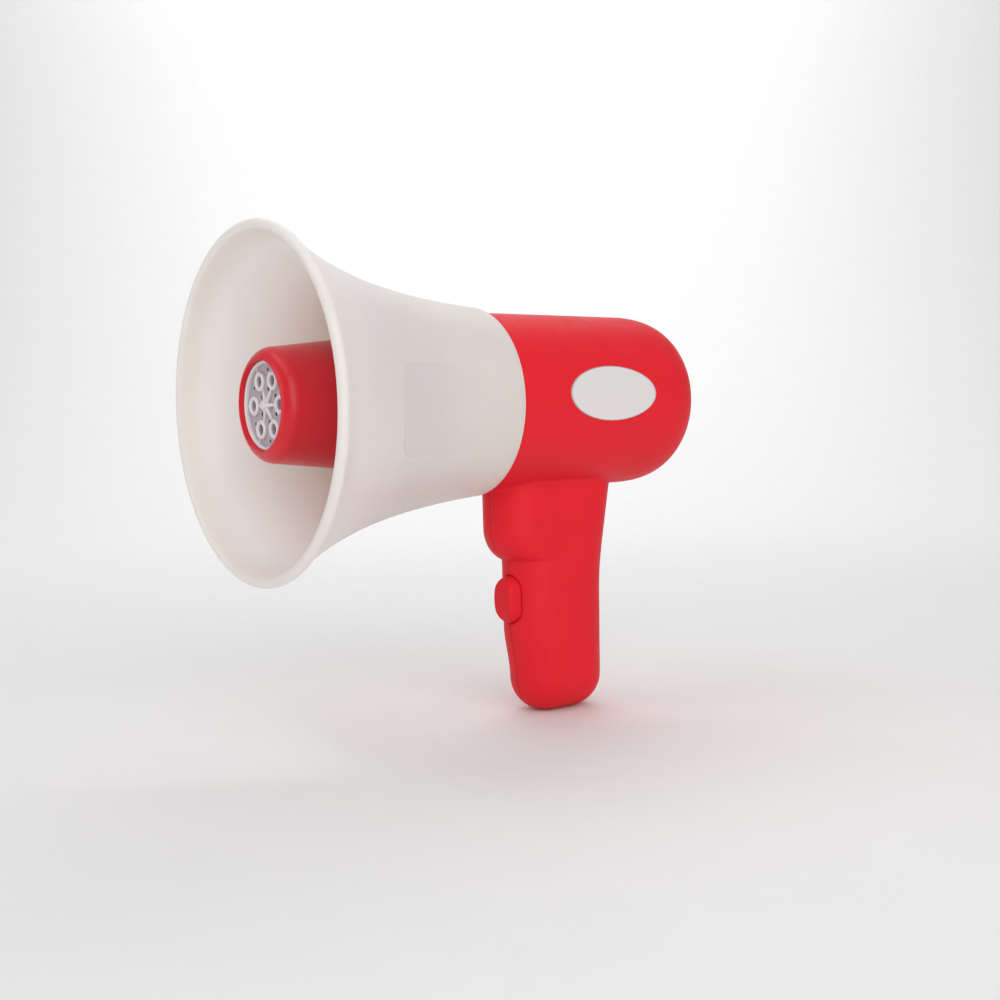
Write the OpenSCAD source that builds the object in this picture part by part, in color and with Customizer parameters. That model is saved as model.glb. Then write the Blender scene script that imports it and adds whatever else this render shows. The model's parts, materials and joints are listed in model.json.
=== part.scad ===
// Bubble megaphone: a white horn on a red two-half body with a hand grip.
// A motor fan in the barrel blows air through the nozzle and the bubble wand.
// The mouth faces -Y, up is +Z, and the origin is the middle of the hand grip.
// Stations along the horn are counted from the mouth towards the rear.

/* [Horn] */
// Outer diameter of the mouth over its rolled lip
mouth_d = 150; // [144:1:156]
// Outer diameter of the horn at its rear edge
throat_d = 86; // [85.6:0.2:88]
// Length from the mouth to the horn's rear edge
horn_len = 110; // [104:1:120]
// Length over which the flare falls to about a third
flare_len = 50; // [44:1:58]
// Radius of the rolled lip
lip_r = 2.9; // [2.4:0.1:3.2]
// Length of horn that sleeves the barrel
seat_len = 10; // [8:0.5:12]
// Height of the shallow panel on each side of the horn
panel_h = 38; // [30:1:42]
// Depth of that panel at its front edge
panel_depth = 0.9; // [0.3:0.1:1.2]

/* [Barrel] */
// Outer diameter of the barrel
barrel_d = 81.6; // [80.6:0.2:81.8]
// Length of barrel behind the horn
barrel_len = 117; // [110:1:125]
// Length of the rounded rear end
dome_len = 36; // [30:1:38]
// Wall of every shell
wall = 2.2; // [1.8:0.1:2.4]
// Length of the oval label
label_len = 52; // [40:1:54]
// Height of the oval label
label_h = 25; // [18:1:28]

/* [Handle] */
// Thickness of the handle from side to side
handle_t = 33; // [32.8:0.1:35]
// Length of the handle below the barrel
handle_drop = 107; // [106:1:116]
// Front-to-back length of the neck under the barrel
neck_len = 68.5; // [67:0.5:71]
// Height of the wide neck below the barrel
neck_drop = 35; // [33:0.5:36]
// Front-to-back length of the grip
grip_len = 50.5; // [50.2:0.1:53]
// Front-to-back length of the handle's end
end_len = 46.5; // [45:0.5:48]

/* [Nozzle] */
// Outer diameter of the nozzle behind its rounded lip
nozzle_d = 48.4; // [47:0.2:50]
// Widening of the nozzle's radius per unit of length
nozzle_taper = 0.109; // [0.09:0.001:0.112]
// Outer diameter of the bubble wand
wand_d = 37; // [35:0.2:37.6]
// Number of bubble rings on the wand
ring_count = 6; // [5:1:6]

/* [Fan] */
// Diameter of the fan over its blade tips
fan_d = 65; // [58:0.5:65.4]
// Number of fan blades
blade_count = 5; // [3:1:7]
// Diameter of the motor can
motor_d = 20.4; // [19:0.1:22]
// Length of the motor can
motor_len = 22; // [20:0.5:24]
// Diameter of the motor shaft
shaft_d = 2; // [1.8:0.1:2.4]

/* [Battery] */
// Diameter of one cell
cell_d = 14.5; // [14:0.1:14.6]
// Length of one cell with its cap
cell_len = 50.5; // [49:0.5:51]

/* [Trigger] */
// Width of the trigger button
trigger_w = 13; // [11:0.5:13.5]
// Height of the trigger button
trigger_h = 22; // [20:0.5:24]
// Travel of the trigger button
trigger_travel = 3; // [2:0.25:3.25]

/* [Fit] */
// Gap around pieces that slide
slide_gap = 0.3; // [0.25:0.05:0.4]
// Gap between pieces that are set into each other
set_gap = 0.15; // [0.1:0.05:0.2]
// Radial gap of the turning shaft
shaft_gap = 0.05; // [0.02:0.01:0.08]

/* [Hidden] */
$fn = 72;
far = 200;

horn_white = "#E6DFD8";
body_red = "#DB2331";
ivory = "#EDEBE6";
dark_grey = "#3A3B3F";
steel = "#B9BCC0";
brass = "#C9A24A";

// Horn: an exponential flare between the lip and the throat
lip_s = 2.65;
lip_step = 0.65;
lip_mid_r = mouth_d / 2 - lip_r;
lip_flare_r = mouth_d / 2 - lip_step;
barrel_r = barrel_d / 2;
seat_r = barrel_r + set_gap;
bead_h = 0.5;
bead_s = horn_len - seat_len / 2;
flare_gain = (throat_d / 2 - lip_flare_r) / (exp(-horn_len / flare_len) - exp(-lip_s / flare_len));
flare_base = throat_d / 2 - flare_gain * exp(-horn_len / flare_len);
flare_steps = 20;
panel_s = 40.5;
panel_len = 40;
panel_z = -4;
panel_corner = 8;
function flare(s) = flare_base + flare_gain * exp(-s / flare_len);
function flare_s(i) = lip_s + (horn_len - lip_s) * i / flare_steps;

// Barrel
barrel_front = horn_len - seat_len + set_gap;
tip_s = horn_len + barrel_len;
dome_s = tip_s - dome_len;
dome_power = 3.2;
dome_steps = 14;
label_t = 0.3;
label_s = dome_s - label_len / 2 - 2;
label_z = 2.3;

// Handle: rounded slot shapes between a front and a rear line of centres
handle_r = handle_t / 2;
under_z = -barrel_r;
end_z = under_z - handle_drop + handle_r;
knee_z = under_z - neck_drop + handle_r;
neck_gap = 10;
neck_front = horn_len + neck_gap + handle_r;
neck_rear = neck_front + neck_len - handle_t;
grip_front = neck_front + 10.4;
grip_rear = grip_front + grip_len - handle_t;
end_rear = grip_rear - 1;
end_front = end_rear - end_len + handle_t;
step_z = knee_z - handle_r + 3;
grip_drop = 33;
rear_drop = 40;
taper_z = step_z - grip_drop;
rear_knee_z = under_z - rear_drop;
neck_top_z = -20;
round_steps = 16;
knee_steps = 5;
end_steps = 6;
function handle_rear(z) = z > rear_knee_z
    ? grip_rear + (neck_rear - grip_rear) * (z - rear_knee_z) / (under_z - rear_knee_z)
    : grip_rear + (end_rear - grip_rear) * (rear_knee_z - z) / (rear_knee_z - end_z);
grip_mid_s = grip_front - handle_r + grip_len / 2;
grip_mid_z = -105;

// Nozzle and wand
nozzle_s = 4.5;
nozzle_lip_r = 6.8;
nozzle_wall = 2;
flange_t = 2;
flange_r = barrel_r - wall - set_gap;
flange_s = horn_len + 2.2;
wand_r = wand_d / 2;
wand_s = nozzle_s + 2.2;
wand_depth = 3;
wand_sink = 0.6;
wand_floor_t = 1;
rim_t = 1.3;
ring_at = 0.62 * wand_r;
ring_r = 0.222 * wand_r;
ring_wall = 1.85;
hub_r = 0.1 * wand_r;
hub_rise = 1.7;
spoke_t = 1.6;
// Air vents between the rings, as places and radii of an inner and an outer circle of holes
vents = [[0.38 * wand_r, 1.3], [0.8 * wand_r, 1]];
bore_r = wand_r + set_gap;
ledge_r = wand_r - rim_t - 0.4;
ledge_s = wand_s + wand_depth;
function nozzle_r(s) = nozzle_d / 2 + nozzle_taper * (s - nozzle_s - nozzle_lip_r);

// Ribs, fan housing and motor
rib_r = flange_r - 1.6;
rib_t = 1.6;
housing_s = flange_s + flange_t + set_gap;
groove_end = housing_s + flange_t + set_gap;
duct_wall = 1.6;
duct_r = fan_d / 2 + 2.6;
duct_len = 16;
duct_end = housing_s + duct_len;
sleeve_wall = 2;
sleeve_len = 16;
arm_count = 3;
arm_t = 2.4;
arm_len = 4;
motor_s = duct_end;
motor_flat = 0.74 * motor_d;
cap_t = 4;
bush_r = 3;
bush_len = 2.4;
hub_len = 9;
fan_s = housing_s + 2;
fan_hub_r = 7;
blade_t = 1.4;
blade_angle = 52;
shaft_r = shaft_d / 2;
shaft_front = fan_s + 1;
shaft_back = motor_s + motor_len - 2;
terminal_w = 2.4;
terminal_t = 0.5;
terminal_len = 4;
terminal_x = 5.5;

// Battery box, cells and door
cell_gap = 0.3;
cell_pitch = cell_d + cell_gap;
cell_s = grip_front + 11.35;
box_wall = 1.2;
box_len = 2 * cell_pitch + 0.5;
box_front = cell_s - box_len / 2;
box_half_x = cell_d / 2 + 0.35;
box_open_x = -8;
floor_room = 1.8;
spring_h = 5;
cell_spring_r = 5;
cell_spring_tip_r = 2.6;
cell_spring_wire = 0.4;
contact_t = 0.5;
plate_w = 12;
plate_room = 0.5;
box_h = cell_len + spring_h + 2 * contact_t;
box_floor = end_z + floor_room;
box_top = box_floor + box_h;
rib_inset = 12;
rib_len = 14;
cap_h = 1;
cap_r = 2.75;
cell_floor = box_floor + contact_t;
lug_r = 3.6;
lug_z = box_top + box_wall + lug_r + 0.6;
lug_in_x = -11.4;
door_gap = 0.3;
door_front = box_front - 0.4;
door_rear = box_front + box_len + 0.2;
door_top = lug_z + 6.5;
door_bottom = box_floor - 1;
door_corner = 4;
door_lift_x = -2;

// Screws: every screw head stands on a seat beside the split
screw_r = 1.4;
screw_len = 17;
head_r = 2.7;
head_t = 2;
pilot_r = screw_r + 0.05;
hole_r = screw_r + 0.25;
well_r = head_r + 0.4;
post_r = well_r + 1.2;
seat_x = -8;
barrel_screws = [[horn_len + 31, barrel_r - 15], [dome_s + 6, barrel_r - 15], [dome_s + 8, -barrel_r + 15]];
handle_screws = [[neck_front + 1, knee_z + 5], [end_front + 6.5, end_z - 5]];
post_lens = [handle_r - wall / 2, handle_r - wall - 0.8];
screw_places = concat(barrel_screws, handle_screws);
door_screw_len = 9;
door_seat_x = -handle_r + 3;

// Trigger and switch
trigger_below = 20;
trigger_proud = 5.3;
trigger_z = step_z - trigger_below;
trigger_front = grip_front - handle_r - trigger_proud;
flange_out_r = handle_r - wall - slide_gap;
flange_in_r = flange_out_r - 1.6;
flange_half_w = trigger_w / 2 + 2.2;
flange_half_h = trigger_h / 2 + 2;
flange_back = grip_front - flange_in_r;
trigger_round_r = 26;
base_t = 1.5;
base_w = 14;
base_h = 24;
base_front = box_front - box_wall - base_t;
spring_wire = 0.25;
spring_r = 3.2;
spring_turns = 3.5;
spring_seat = grip_front - sqrt(pow(flange_in_r, 2) - pow(spring_r + spring_wire, 2));
pin_r = 1.5;
bridge_t = 0.4;
bridge_h = 3;
bridge_z = trigger_z - 8;
bridge_half_w = 6;
contact_gap = 0.3;
contact_w = 3;
contact_in_x = 2.5;
contact_front = base_front - 0.7;
contact_low = bridge_z - 2;
contact_top = trigger_z - spring_r - spring_wire - 1;
bridge_back = contact_front - contact_gap - trigger_travel;
lead_r = 0.5;
lead_x = 5.2;
lead_bend = 9;
lead_lean = 3;
lead_neck_z = -34;
lead_neck_x = 6;
lead_rise = 14;

// Moves horn stations and heights above the horn's axis to the grip's middle
module from_axis() {
    translate([0, -grip_mid_s, -grip_mid_z]) children();
}

// A shape turned about the horn's axis from a profile of [radius, station]
module turned() {
    rotate([-90, 0, 0]) rotate_extrude($fn = 120) children();
}

// A cylinder along the horn's axis
module rod_y(s, len, r) {
    translate([0, s, 0]) rotate([-90, 0, 0]) cylinder(h = len, r = r);
}

// A cylinder from side to side
module rod_x(x, len, r) {
    translate([x, 0, 0]) rotate([0, 90, 0]) cylinder(h = len, r = r);
}

// A side outline of [station, height] given a thickness from side to side
module slab_x(x, len) {
    translate([x, 0, 0]) rotate([90, 0, 90]) linear_extrude(len) children();
}

// A rectangle with round corners between two corners
module round_rect(low, high, r) {
    for (x = [low[0] + r, high[0] - r], y = [low[1] + r, high[1] - r])
        translate([x, y]) circle(r);
    translate([low[0] + r, low[1]]) square([high[0] - low[0] - 2 * r, high[1] - low[1]]);
    translate([low[0], low[1] + r]) square([high[0] - low[0], high[1] - low[1] - 2 * r]);
}

// A wire wound upwards from one radius to another
module coil(r_low, r_high, wire, turns, height) {
    steps = round(turns * 20);
    sides = 8;
    function spot(i, k) = let (a = 360 * turns * i / steps, b = 360 * k / sides,
        r = r_low + (r_high - r_low) * i / steps + wire * cos(b))
        [r * cos(a), r * sin(a), wire + (height - 2 * wire) * i / steps + wire * sin(b)];
    points = [for (i = [0:steps], k = [0:sides - 1]) spot(i, k)];
    walls = [for (i = [0:steps - 1], k = [0:sides - 1]) let (n = (k + 1) % sides)
        [i * sides + k, i * sides + n, (i + 1) * sides + n, (i + 1) * sides + k]];
    first = [for (k = [sides - 1:-1:0]) k];
    last = [for (k = [0:sides - 1]) steps * sides + k];
    polyhedron(points, concat(walls, [first, last]), convexity = 6);
}

// A point on a smooth curve through hand-picked points
function curve_point(p, i, t) =
    let (a = p[max(i - 1, 0)], b = p[i], c = p[i + 1], d = p[min(i + 2, len(p) - 1)])
    b + (c - a) * t / 2 + (2 * a - 5 * b + 4 * c - d) * t * t / 2 + (3 * b - a - 3 * c + d) * t * t * t / 2;

// A wire along a smooth curve through hand-picked points
module lead(points) {
    steps = 4;
    sides = 8;
    spots = concat([for (i = [0:len(points) - 2], k = [0:steps - 1]) curve_point(points, i, k / steps)],
        [points[len(points) - 1]]);
    last = len(spots) - 1;
    function ring(i) = let (d = spots[min(i + 1, last)] - spots[max(i - 1, 0)], t = d / norm(d),
        u = cross(t, [1, 0, 0]) / norm(cross(t, [1, 0, 0])), v = cross(t, u))
        [for (k = [0:sides - 1]) let (a = 360 * k / sides) spots[i] + lead_r * (cos(a) * u + sin(a) * v)];
    walls = [for (i = [0:last - 1], k = [0:sides - 1], half = [0, 1]) let (n = (k + 1) % sides)
        half == 0 ? [i * sides + k, (i + 1) * sides + k, (i + 1) * sides + n]
            : [i * sides + k, (i + 1) * sides + n, i * sides + n]];
    first = [for (k = [0:sides - 1]) k];
    end = [for (k = [sides - 1:-1:0]) last * sides + k];
    polyhedron([for (i = [0:last], point = ring(i)) point], concat(walls, [first, end]), convexity = 6);
}

// Profile of the flared wall with its rounded rear edge and the seat for the barrel
module horn_wall() {
    outer = [for (i = [0:flare_steps - 1]) [flare(flare_s(i)), flare_s(i)]];
    inner = [for (i = [flare_steps:-1:0]) let (s = flare_s(i) * (horn_len - seat_len) / horn_len)
        [flare(s) - wall, max(s, lip_s)]];
    polygon(concat(outer,
        [[throat_d / 2, horn_len - 0.8], [throat_d / 2 - 0.25, horn_len - 0.25],
        [throat_d / 2 - 0.8, horn_len], [seat_r, horn_len], [seat_r, horn_len - seat_len]], inner));
}

// Profile of the rolled lip, flat where the mouth can stand on a table
module horn_lip() {
    difference() {
        translate([lip_mid_r, lip_s]) circle(lip_r);
        translate([lip_mid_r - 2 * lip_r, -2 * lip_r]) square([4 * lip_r, 2 * lip_r]);
    }
}

// The shallow panel is deepest at its front and runs out towards the rear
module panel_cut() {
    flare_step = (horn_len - lip_s) / flare_steps;
    first = floor((panel_s - lip_s) / flare_step);
    last = ceil((panel_s + panel_len - lip_s) / flare_step);
    intersection() {
        turned() polygon(concat(
            [for (i = [first:last]) let (s = flare_s(i))
                [flare(s) - panel_depth * (1 - (s - panel_s) / panel_len), s]],
            [[flare(flare_s(first)) + 2, flare_s(last)], [flare(flare_s(first)) + 2, flare_s(first)]]));
        slab_x(-far / 2, far) round_rect([panel_s, panel_z - panel_h / 2],
            [panel_s + 2 * panel_len, panel_z + panel_h / 2], panel_corner);
    }
}

module horn() {
    color(horn_white) from_axis() difference() {
        turned() difference() {
            union() {
                horn_wall();
                horn_lip();
            }
            translate([seat_r - 1, bead_s - 1.2]) square([1 + bead_h, 2.4]);
        }
        panel_cut();
    }
}

module nozzle() {
    cone_s = nozzle_s + nozzle_lip_r;
    end_s = flange_s + flange_t;
    lip_mid = nozzle_d / 2 - nozzle_lip_r;
    throat_s = cone_s + 12;
    color(body_red) from_axis() difference() {
        turned() union() {
            translate([lip_mid, cone_s]) circle(nozzle_lip_r);
            polygon([[ledge_r - 2, cone_s], [nozzle_r(cone_s), cone_s], [nozzle_r(end_s), end_s],
                [nozzle_r(end_s) - nozzle_wall, end_s], [nozzle_r(throat_s) - nozzle_wall, throat_s],
                [ledge_r, cone_s + 5], [ledge_r - 2, cone_s + 5]]);
            translate([nozzle_r(end_s) - nozzle_wall, flange_s])
                square([flange_r - nozzle_r(end_s) + nozzle_wall, flange_t]);
        }
        rod_y(nozzle_s - 1, ledge_s - nozzle_s + 1, bore_r);
        rod_y(nozzle_s - 1, far, ledge_r);
    }
}

// A shallow cup whose floor carries raised rings, open right through, with air vents between them.
// Spokes run from the rim over the rings' level and up to a raised hub.
module bubble_wand() {
    rise = wand_depth - wand_sink;
    reach = wand_r - rim_t / 2;
    spoke_top = spoke_t / 2;
    color(ivory) from_axis() {
        turned() translate([wand_r - rim_t, wand_s]) square([rim_t, wand_depth]);
        translate([0, wand_s + wand_sink, 0]) rotate([-90, 0, 0]) difference() {
            union() {
                translate([0, 0, rise - wand_floor_t]) cylinder(h = wand_floor_t, r = reach);
                translate([0, 0, -hub_rise]) cylinder(h = rise + hub_rise, r = hub_r);
                for (i = [0:ring_count - 1]) rotate(360 * i / ring_count) {
                    translate([ring_at, 0, 0]) cylinder(h = rise, r = ring_r);
                    rotate([90, 0, 0]) translate([0, 0, -spoke_t / 2]) linear_extrude(spoke_t)
                        polygon([[0, spoke_top - hub_rise], [ring_at - ring_r, spoke_top], [reach, spoke_top],
                            [reach, rise], [0, rise]]);
                }
            }
            for (i = [0:ring_count - 1]) {
                rotate(360 * i / ring_count) translate([ring_at, 0, -1])
                    cylinder(h = rise + 2, r = ring_r - ring_wall);
                rotate(360 * (i + 0.5) / ring_count) for (vent = vents) translate([vent[0], 0, -1])
                    cylinder(h = rise + 2, r = vent[1]);
            }
        }
    }
}

// The barrel with its domed rear end, drawn in by an inset
module barrel_solid(inset, front) {
    r = barrel_r - inset;
    depth = dome_len - inset;
    turned() polygon(concat([[0, front], [r, front]],
        [for (i = [0:dome_steps - 1]) let (t = i / dome_steps, u = 1 - pow(1 - t, 2))
            [r * pow(1 - pow(u, dome_power), 1 / dome_power), dome_s + depth * u]],
        [[0, dome_s + depth]]));
}

// One level of the handle: a rounded slot shape between a front and a rear centre
function handle_ring(r, front, rear, z) = concat(
    [for (i = [0:round_steps]) let (a = 180 * i / round_steps) [r * cos(a), front - r * sin(a), z]],
    [for (i = [0:round_steps]) let (a = 180 * i / round_steps) [-r * cos(a), rear + r * sin(a), z]]);

// The handle as levels from the barrel down to its rounded end
module handle_solid(r) {
    turn = acos(1 - (grip_front - neck_front) / r);
    knee = [for (i = [0:knee_steps]) let (t = turn * i / knee_steps, z = knee_z - r * sin(t))
        handle_ring(r, neck_front + r * (1 - cos(t)), handle_rear(z), z)];
    grip = [for (z = [rear_knee_z, taper_z]) handle_ring(r, grip_front, handle_rear(z), z)];
    end = [for (i = [0:end_steps]) let (t = 80 * i / end_steps)
        handle_ring(r * cos(t), end_front, end_rear, end_z - r * sin(t))];
    rings = concat([handle_ring(r, neck_front, handle_rear(neck_top_z), neck_top_z)], knee, grip, end);
    size = len(rings[0]);
    last = len(rings) - 1;
    walls = [for (i = [0:last - 1], k = [0:size - 1], half = [0, 1]) let (n = (k + 1) % size)
        half == 0 ? [i * size + n, i * size + k, (i + 1) * size + k]
            : [i * size + n, (i + 1) * size + k, (i + 1) * size + n]];
    top = [for (k = [0:size - 1]) k];
    bottom = [for (k = [size - 1:-1:0]) last * size + k];
    polyhedron([for (ring = rings, point = ring) point], concat(walls, [top, bottom]), convexity = 6);
}

module body_wall() {
    difference() {
        union() {
            barrel_solid(0, barrel_front);
            handle_solid(handle_r);
        }
        barrel_solid(wall, barrel_front - 1);
        handle_solid(handle_r - wall);
    }
}

// Two rings inside the barrel hold the flanges of the nozzle and the fan housing
module barrel_ribs() {
    for (s = [flange_s - set_gap - rib_t, groove_end]) turned()
        translate([rib_r, s]) square([barrel_r - wall / 2 - rib_r, rib_t]);
    turned() translate([barrel_r - wall / 2, bead_s - 0.8]) square([wall / 2 + bead_h - set_gap, 1.6]);
}

// Posts for the screws on one side, from the split out to the wall
module screw_posts(side) {
    intersection() {
        for (p = barrel_screws) translate([0, p[0], p[1]]) rod_x(side > 0 ? 0 : -far, far, post_r);
        barrel_solid(wall / 2, barrel_front);
    }
    for (i = [0:1]) translate([0, handle_screws[i][0], handle_screws[i][1]])
        rod_x(side > 0 ? 0 : -post_lens[i], post_lens[i], post_r);
}

// Slots in the rear end let air in, three on each side of the split
module intake_slots(side) {
    slot_w = 3;
    for (i = [0:2]) {
        half = 17 - 3 * i;
        x = side * (5 + 6.5 * i);
        translate([x, dome_s + 12, 0]) rotate([-90, 0, 0]) linear_extrude(far)
            round_rect([-slot_w / 2, -half], [slot_w / 2, half], slot_w / 2 - 0.05);
    }
}

// The trigger's outline seen from the front, wider by a gap
module trigger_bar(s, len, gap) {
    r = trigger_w / 2 + gap;
    half = trigger_h / 2 - trigger_w / 2;
    for (z = [-half, half]) translate([0, 0, trigger_z + z]) rod_y(s, len, r);
    translate([-r, s, trigger_z - half]) cube([2 * r, len, 2 * half]);
}

module door_prism(gap) {
    slab_x(-far, far + door_lift_x)
        round_rect([door_front + gap, door_bottom + gap], [door_rear - gap, door_top - gap], door_corner);
}

// Half of the body wall on one side of the split
module shell_half(side) {
    intersection() {
        union() {
            body_wall();
            barrel_ribs();
        }
        translate([side > 0 ? 0 : -far, -far, -far]) cube([far, 4 * far, 2 * far]);
    }
}

module shell_left() {
    rib_x = box_half_x + box_wall;
    color(body_red) from_axis() difference() {
        union() {
            shell_half(1);
            screw_posts(1);
            for (z = [box_floor + rib_inset, box_top - rib_inset])
                translate([rib_x, cell_s - rib_len / 2, z])
                    cube([handle_r - wall / 2 - rib_x, rib_len, rib_t]);
        }
        for (p = screw_places) translate([0, p[0], p[1]]) rod_x(-1, seat_x + screw_len + 2, pilot_r);
        trigger_bar(trigger_front, grip_front - trigger_front - 4, slide_gap);
        intake_slots(1);
    }
}

module shell_right() {
    color(body_red) from_axis() difference() {
        union() {
            shell_half(-1);
            screw_posts(-1);
        }
        for (p = screw_places) translate([0, p[0], p[1]]) {
            rod_x(seat_x - 1, 2 - seat_x, hole_r);
            rod_x(-far, far + seat_x, well_r);
        }
        trigger_bar(trigger_front, grip_front - trigger_front - 4, slide_gap);
        intake_slots(-1);
        door_prism(0);
    }
}

// The oval label lies on the barrel's left side
module label_left() {
    steps = 60;
    color(ivory) from_axis() intersection() {
        turned() translate([barrel_r, label_s - label_len]) square([label_t, 2 * label_len]);
        slab_x(0, far) polygon([for (i = [0:steps - 1]) let (a = 360 * i / steps)
            [label_s + label_len / 2 * cos(a), label_z + label_h / 2 * sin(a)]]);
    }
}

// A screw that points to +X, with its head on the given seat
module screw_x(seat, len) {
    difference() {
        union() {
            rod_x(seat - head_t, head_t, head_r);
            rod_x(seat - 0.1, len, screw_r);
        }
        translate([seat - head_t - 1, -head_r * 0.65, -0.35]) cube([1.9, head_r * 1.3, 0.7]);
        translate([seat - head_t - 1, -0.35, -head_r * 0.65]) cube([1.9, 0.7, head_r * 1.3]);
    }
}

module shell_screws() {
    color(steel) from_axis()
        for (p = screw_places) translate([0, p[0], p[1]]) screw_x(seat_x, screw_len);
}

module fan_housing() {
    color(dark_grey) from_axis() difference() {
        union() {
            turned() {
                translate([duct_r - duct_wall, housing_s]) square([flange_r - duct_r + duct_wall, flange_t]);
                translate([duct_r - duct_wall, housing_s]) square([duct_wall, duct_len]);
                translate([motor_d / 2 + set_gap, duct_end - arm_len])
                    square([sleeve_wall, sleeve_len + arm_len]);
                translate([bush_r + set_gap, duct_end - arm_len])
                    square([motor_d / 2 + sleeve_wall - bush_r, arm_len]);
            }
            for (i = [0:arm_count - 1]) rotate([0, 30 + 360 * i / arm_count, 0])
                translate([motor_d / 2 + 1, duct_end - arm_len, -arm_t / 2])
                    cube([duct_r - 0.5 - motor_d / 2 - 1, arm_len, arm_t]);
        }
        rod_y(fan_s - 1, duct_end - fan_s, bush_r + set_gap);
    }
}

// One blade, leaning from the shaft's direction and trimmed to the tip circle
module fan_blade() {
    intersection() {
        translate([0, fan_s + hub_len / 2, 0]) rotate([blade_angle, 0, 0])
            translate([fan_hub_r - 2, -blade_t / 2, -8]) cube([fan_d / 2, blade_t, 16]);
        rod_y(fan_s, hub_len, fan_d / 2);
    }
}

module fan_impeller() {
    color(ivory) from_axis() difference() {
        union() {
            rod_y(fan_s, hub_len, fan_hub_r);
            for (i = [0:blade_count - 1]) rotate([0, 360 * i / blade_count, 0]) fan_blade();
        }
        rod_y(fan_s - 1, hub_len + 2, shaft_r);
    }
}

module motor_shaft() {
    color(steel) from_axis() rod_y(shaft_front, shaft_back - shaft_front, shaft_r);
}

module motor_bush() {
    color(brass) from_axis() difference() {
        rod_y(motor_s - bush_len, bush_len, bush_r);
        rod_y(motor_s - bush_len - 1, bush_len + 2, shaft_r + shaft_gap);
    }
}

module motor_can() {
    color(steel) from_axis() difference() {
        intersection() {
            rod_y(motor_s, motor_len, motor_d / 2);
            translate([-far / 2, 0, -motor_flat / 2]) cube([far, far, motor_flat]);
        }
        rod_y(motor_s - 1, shaft_back - motor_s + 2, shaft_r + shaft_gap);
    }
}

module motor_end_cap() {
    color(ivory) from_axis() difference() {
        intersection() {
            rod_y(motor_s + motor_len, cap_t, motor_d / 2 - 0.4);
            translate([-far / 2, 0, -motor_flat / 2 + 0.4]) cube([far, far, motor_flat - 0.8]);
        }
        for (x = [-terminal_x, terminal_x])
            translate([x - terminal_t / 2, motor_s + motor_len + 1, -terminal_w / 2])
                cube([terminal_t, cap_t, terminal_w]);
    }
}

module motor_terminals() {
    color(brass) from_axis() for (x = [-terminal_x, terminal_x])
        translate([x - terminal_t / 2, motor_s + motor_len + 1, -terminal_w / 2])
            cube([terminal_t, cap_t - 1 + terminal_len, terminal_w]);
}

module battery_box() {
    outer_x = box_half_x + box_wall - box_open_x;
    color(dark_grey) from_axis() difference() {
        union() {
            translate([box_open_x, box_front - box_wall, box_floor - box_wall])
                cube([outer_x, box_len + 2 * box_wall, box_h + 2 * box_wall]);
            translate([0, cell_s, lug_z]) rod_x(lug_in_x, -lug_in_x, lug_r);
            translate([lug_in_x / 2, cell_s - 1, box_top]) cube([-lug_in_x / 2, 2, box_wall + 1]);
        }
        translate([box_open_x - 1, box_front, box_floor]) cube([box_half_x - box_open_x + 1, box_len, box_h]);
        translate([0, cell_s, lug_z]) rod_x(lug_in_x - 1, door_screw_len + 2, pilot_r);
    }
}

// A cell that stands on its flat end, or hangs from it
module battery_cell(s, up) {
    body_len = cell_len - cap_h;
    low = up ? cell_floor + spring_h : cell_floor;
    translate([0, s, low + cell_len / 2]) rotate([up ? 0 : 180, 0, 0]) translate([0, 0, -cell_len / 2]) {
        cylinder(h = body_len, r = cell_d / 2);
        translate([0, 0, body_len - 0.1]) cylinder(h = cap_h + 0.1, r = cap_r);
    }
}

module battery_cell_front() {
    color(dark_grey) from_axis() battery_cell(cell_s - cell_pitch / 2, true);
}

module battery_cell_rear() {
    color(dark_grey) from_axis() battery_cell(cell_s + cell_pitch / 2, false);
}

module battery_springs() {
    color(steel) from_axis() {
        translate([0, cell_s - cell_pitch / 2, cell_floor])
            coil(cell_spring_r, cell_spring_tip_r, cell_spring_wire, 3, spring_h);
        translate([0, cell_s + cell_pitch / 2, cell_floor + cell_len + spring_h]) rotate([180, 0, 0])
            coil(cell_spring_r, cell_spring_tip_r, cell_spring_wire, 3, spring_h);
    }
}

// One long plate joins the cells at the floor and two tabs meet them at the top
module battery_contacts() {
    color(brass) from_axis() {
        translate([-plate_w / 2, box_front + plate_room, box_floor])
            cube([plate_w, box_len - 2 * plate_room, contact_t]);
        for (s = [cell_s - cell_pitch / 2, cell_s + cell_pitch / 2])
            translate([-plate_w / 2, s - plate_w / 2, box_top - contact_t])
                cube([plate_w, plate_w, contact_t]);
    }
}

module battery_door() {
    color(body_red) from_axis() difference() {
        union() {
            intersection() {
                difference() {
                    handle_solid(handle_r);
                    handle_solid(handle_r - wall);
                }
                door_prism(door_gap);
            }
            translate([0, cell_s, lug_z]) rod_x(-handle_r + 0.5, handle_r - 0.7 + lug_in_x, post_r);
        }
        translate([0, cell_s, lug_z]) {
            rod_x(-far, far, hole_r);
            rod_x(-far, far + door_seat_x, well_r);
        }
    }
}

module door_screw() {
    color(steel) from_axis() translate([0, cell_s, lug_z]) screw_x(door_seat_x, door_screw_len);
}

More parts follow.
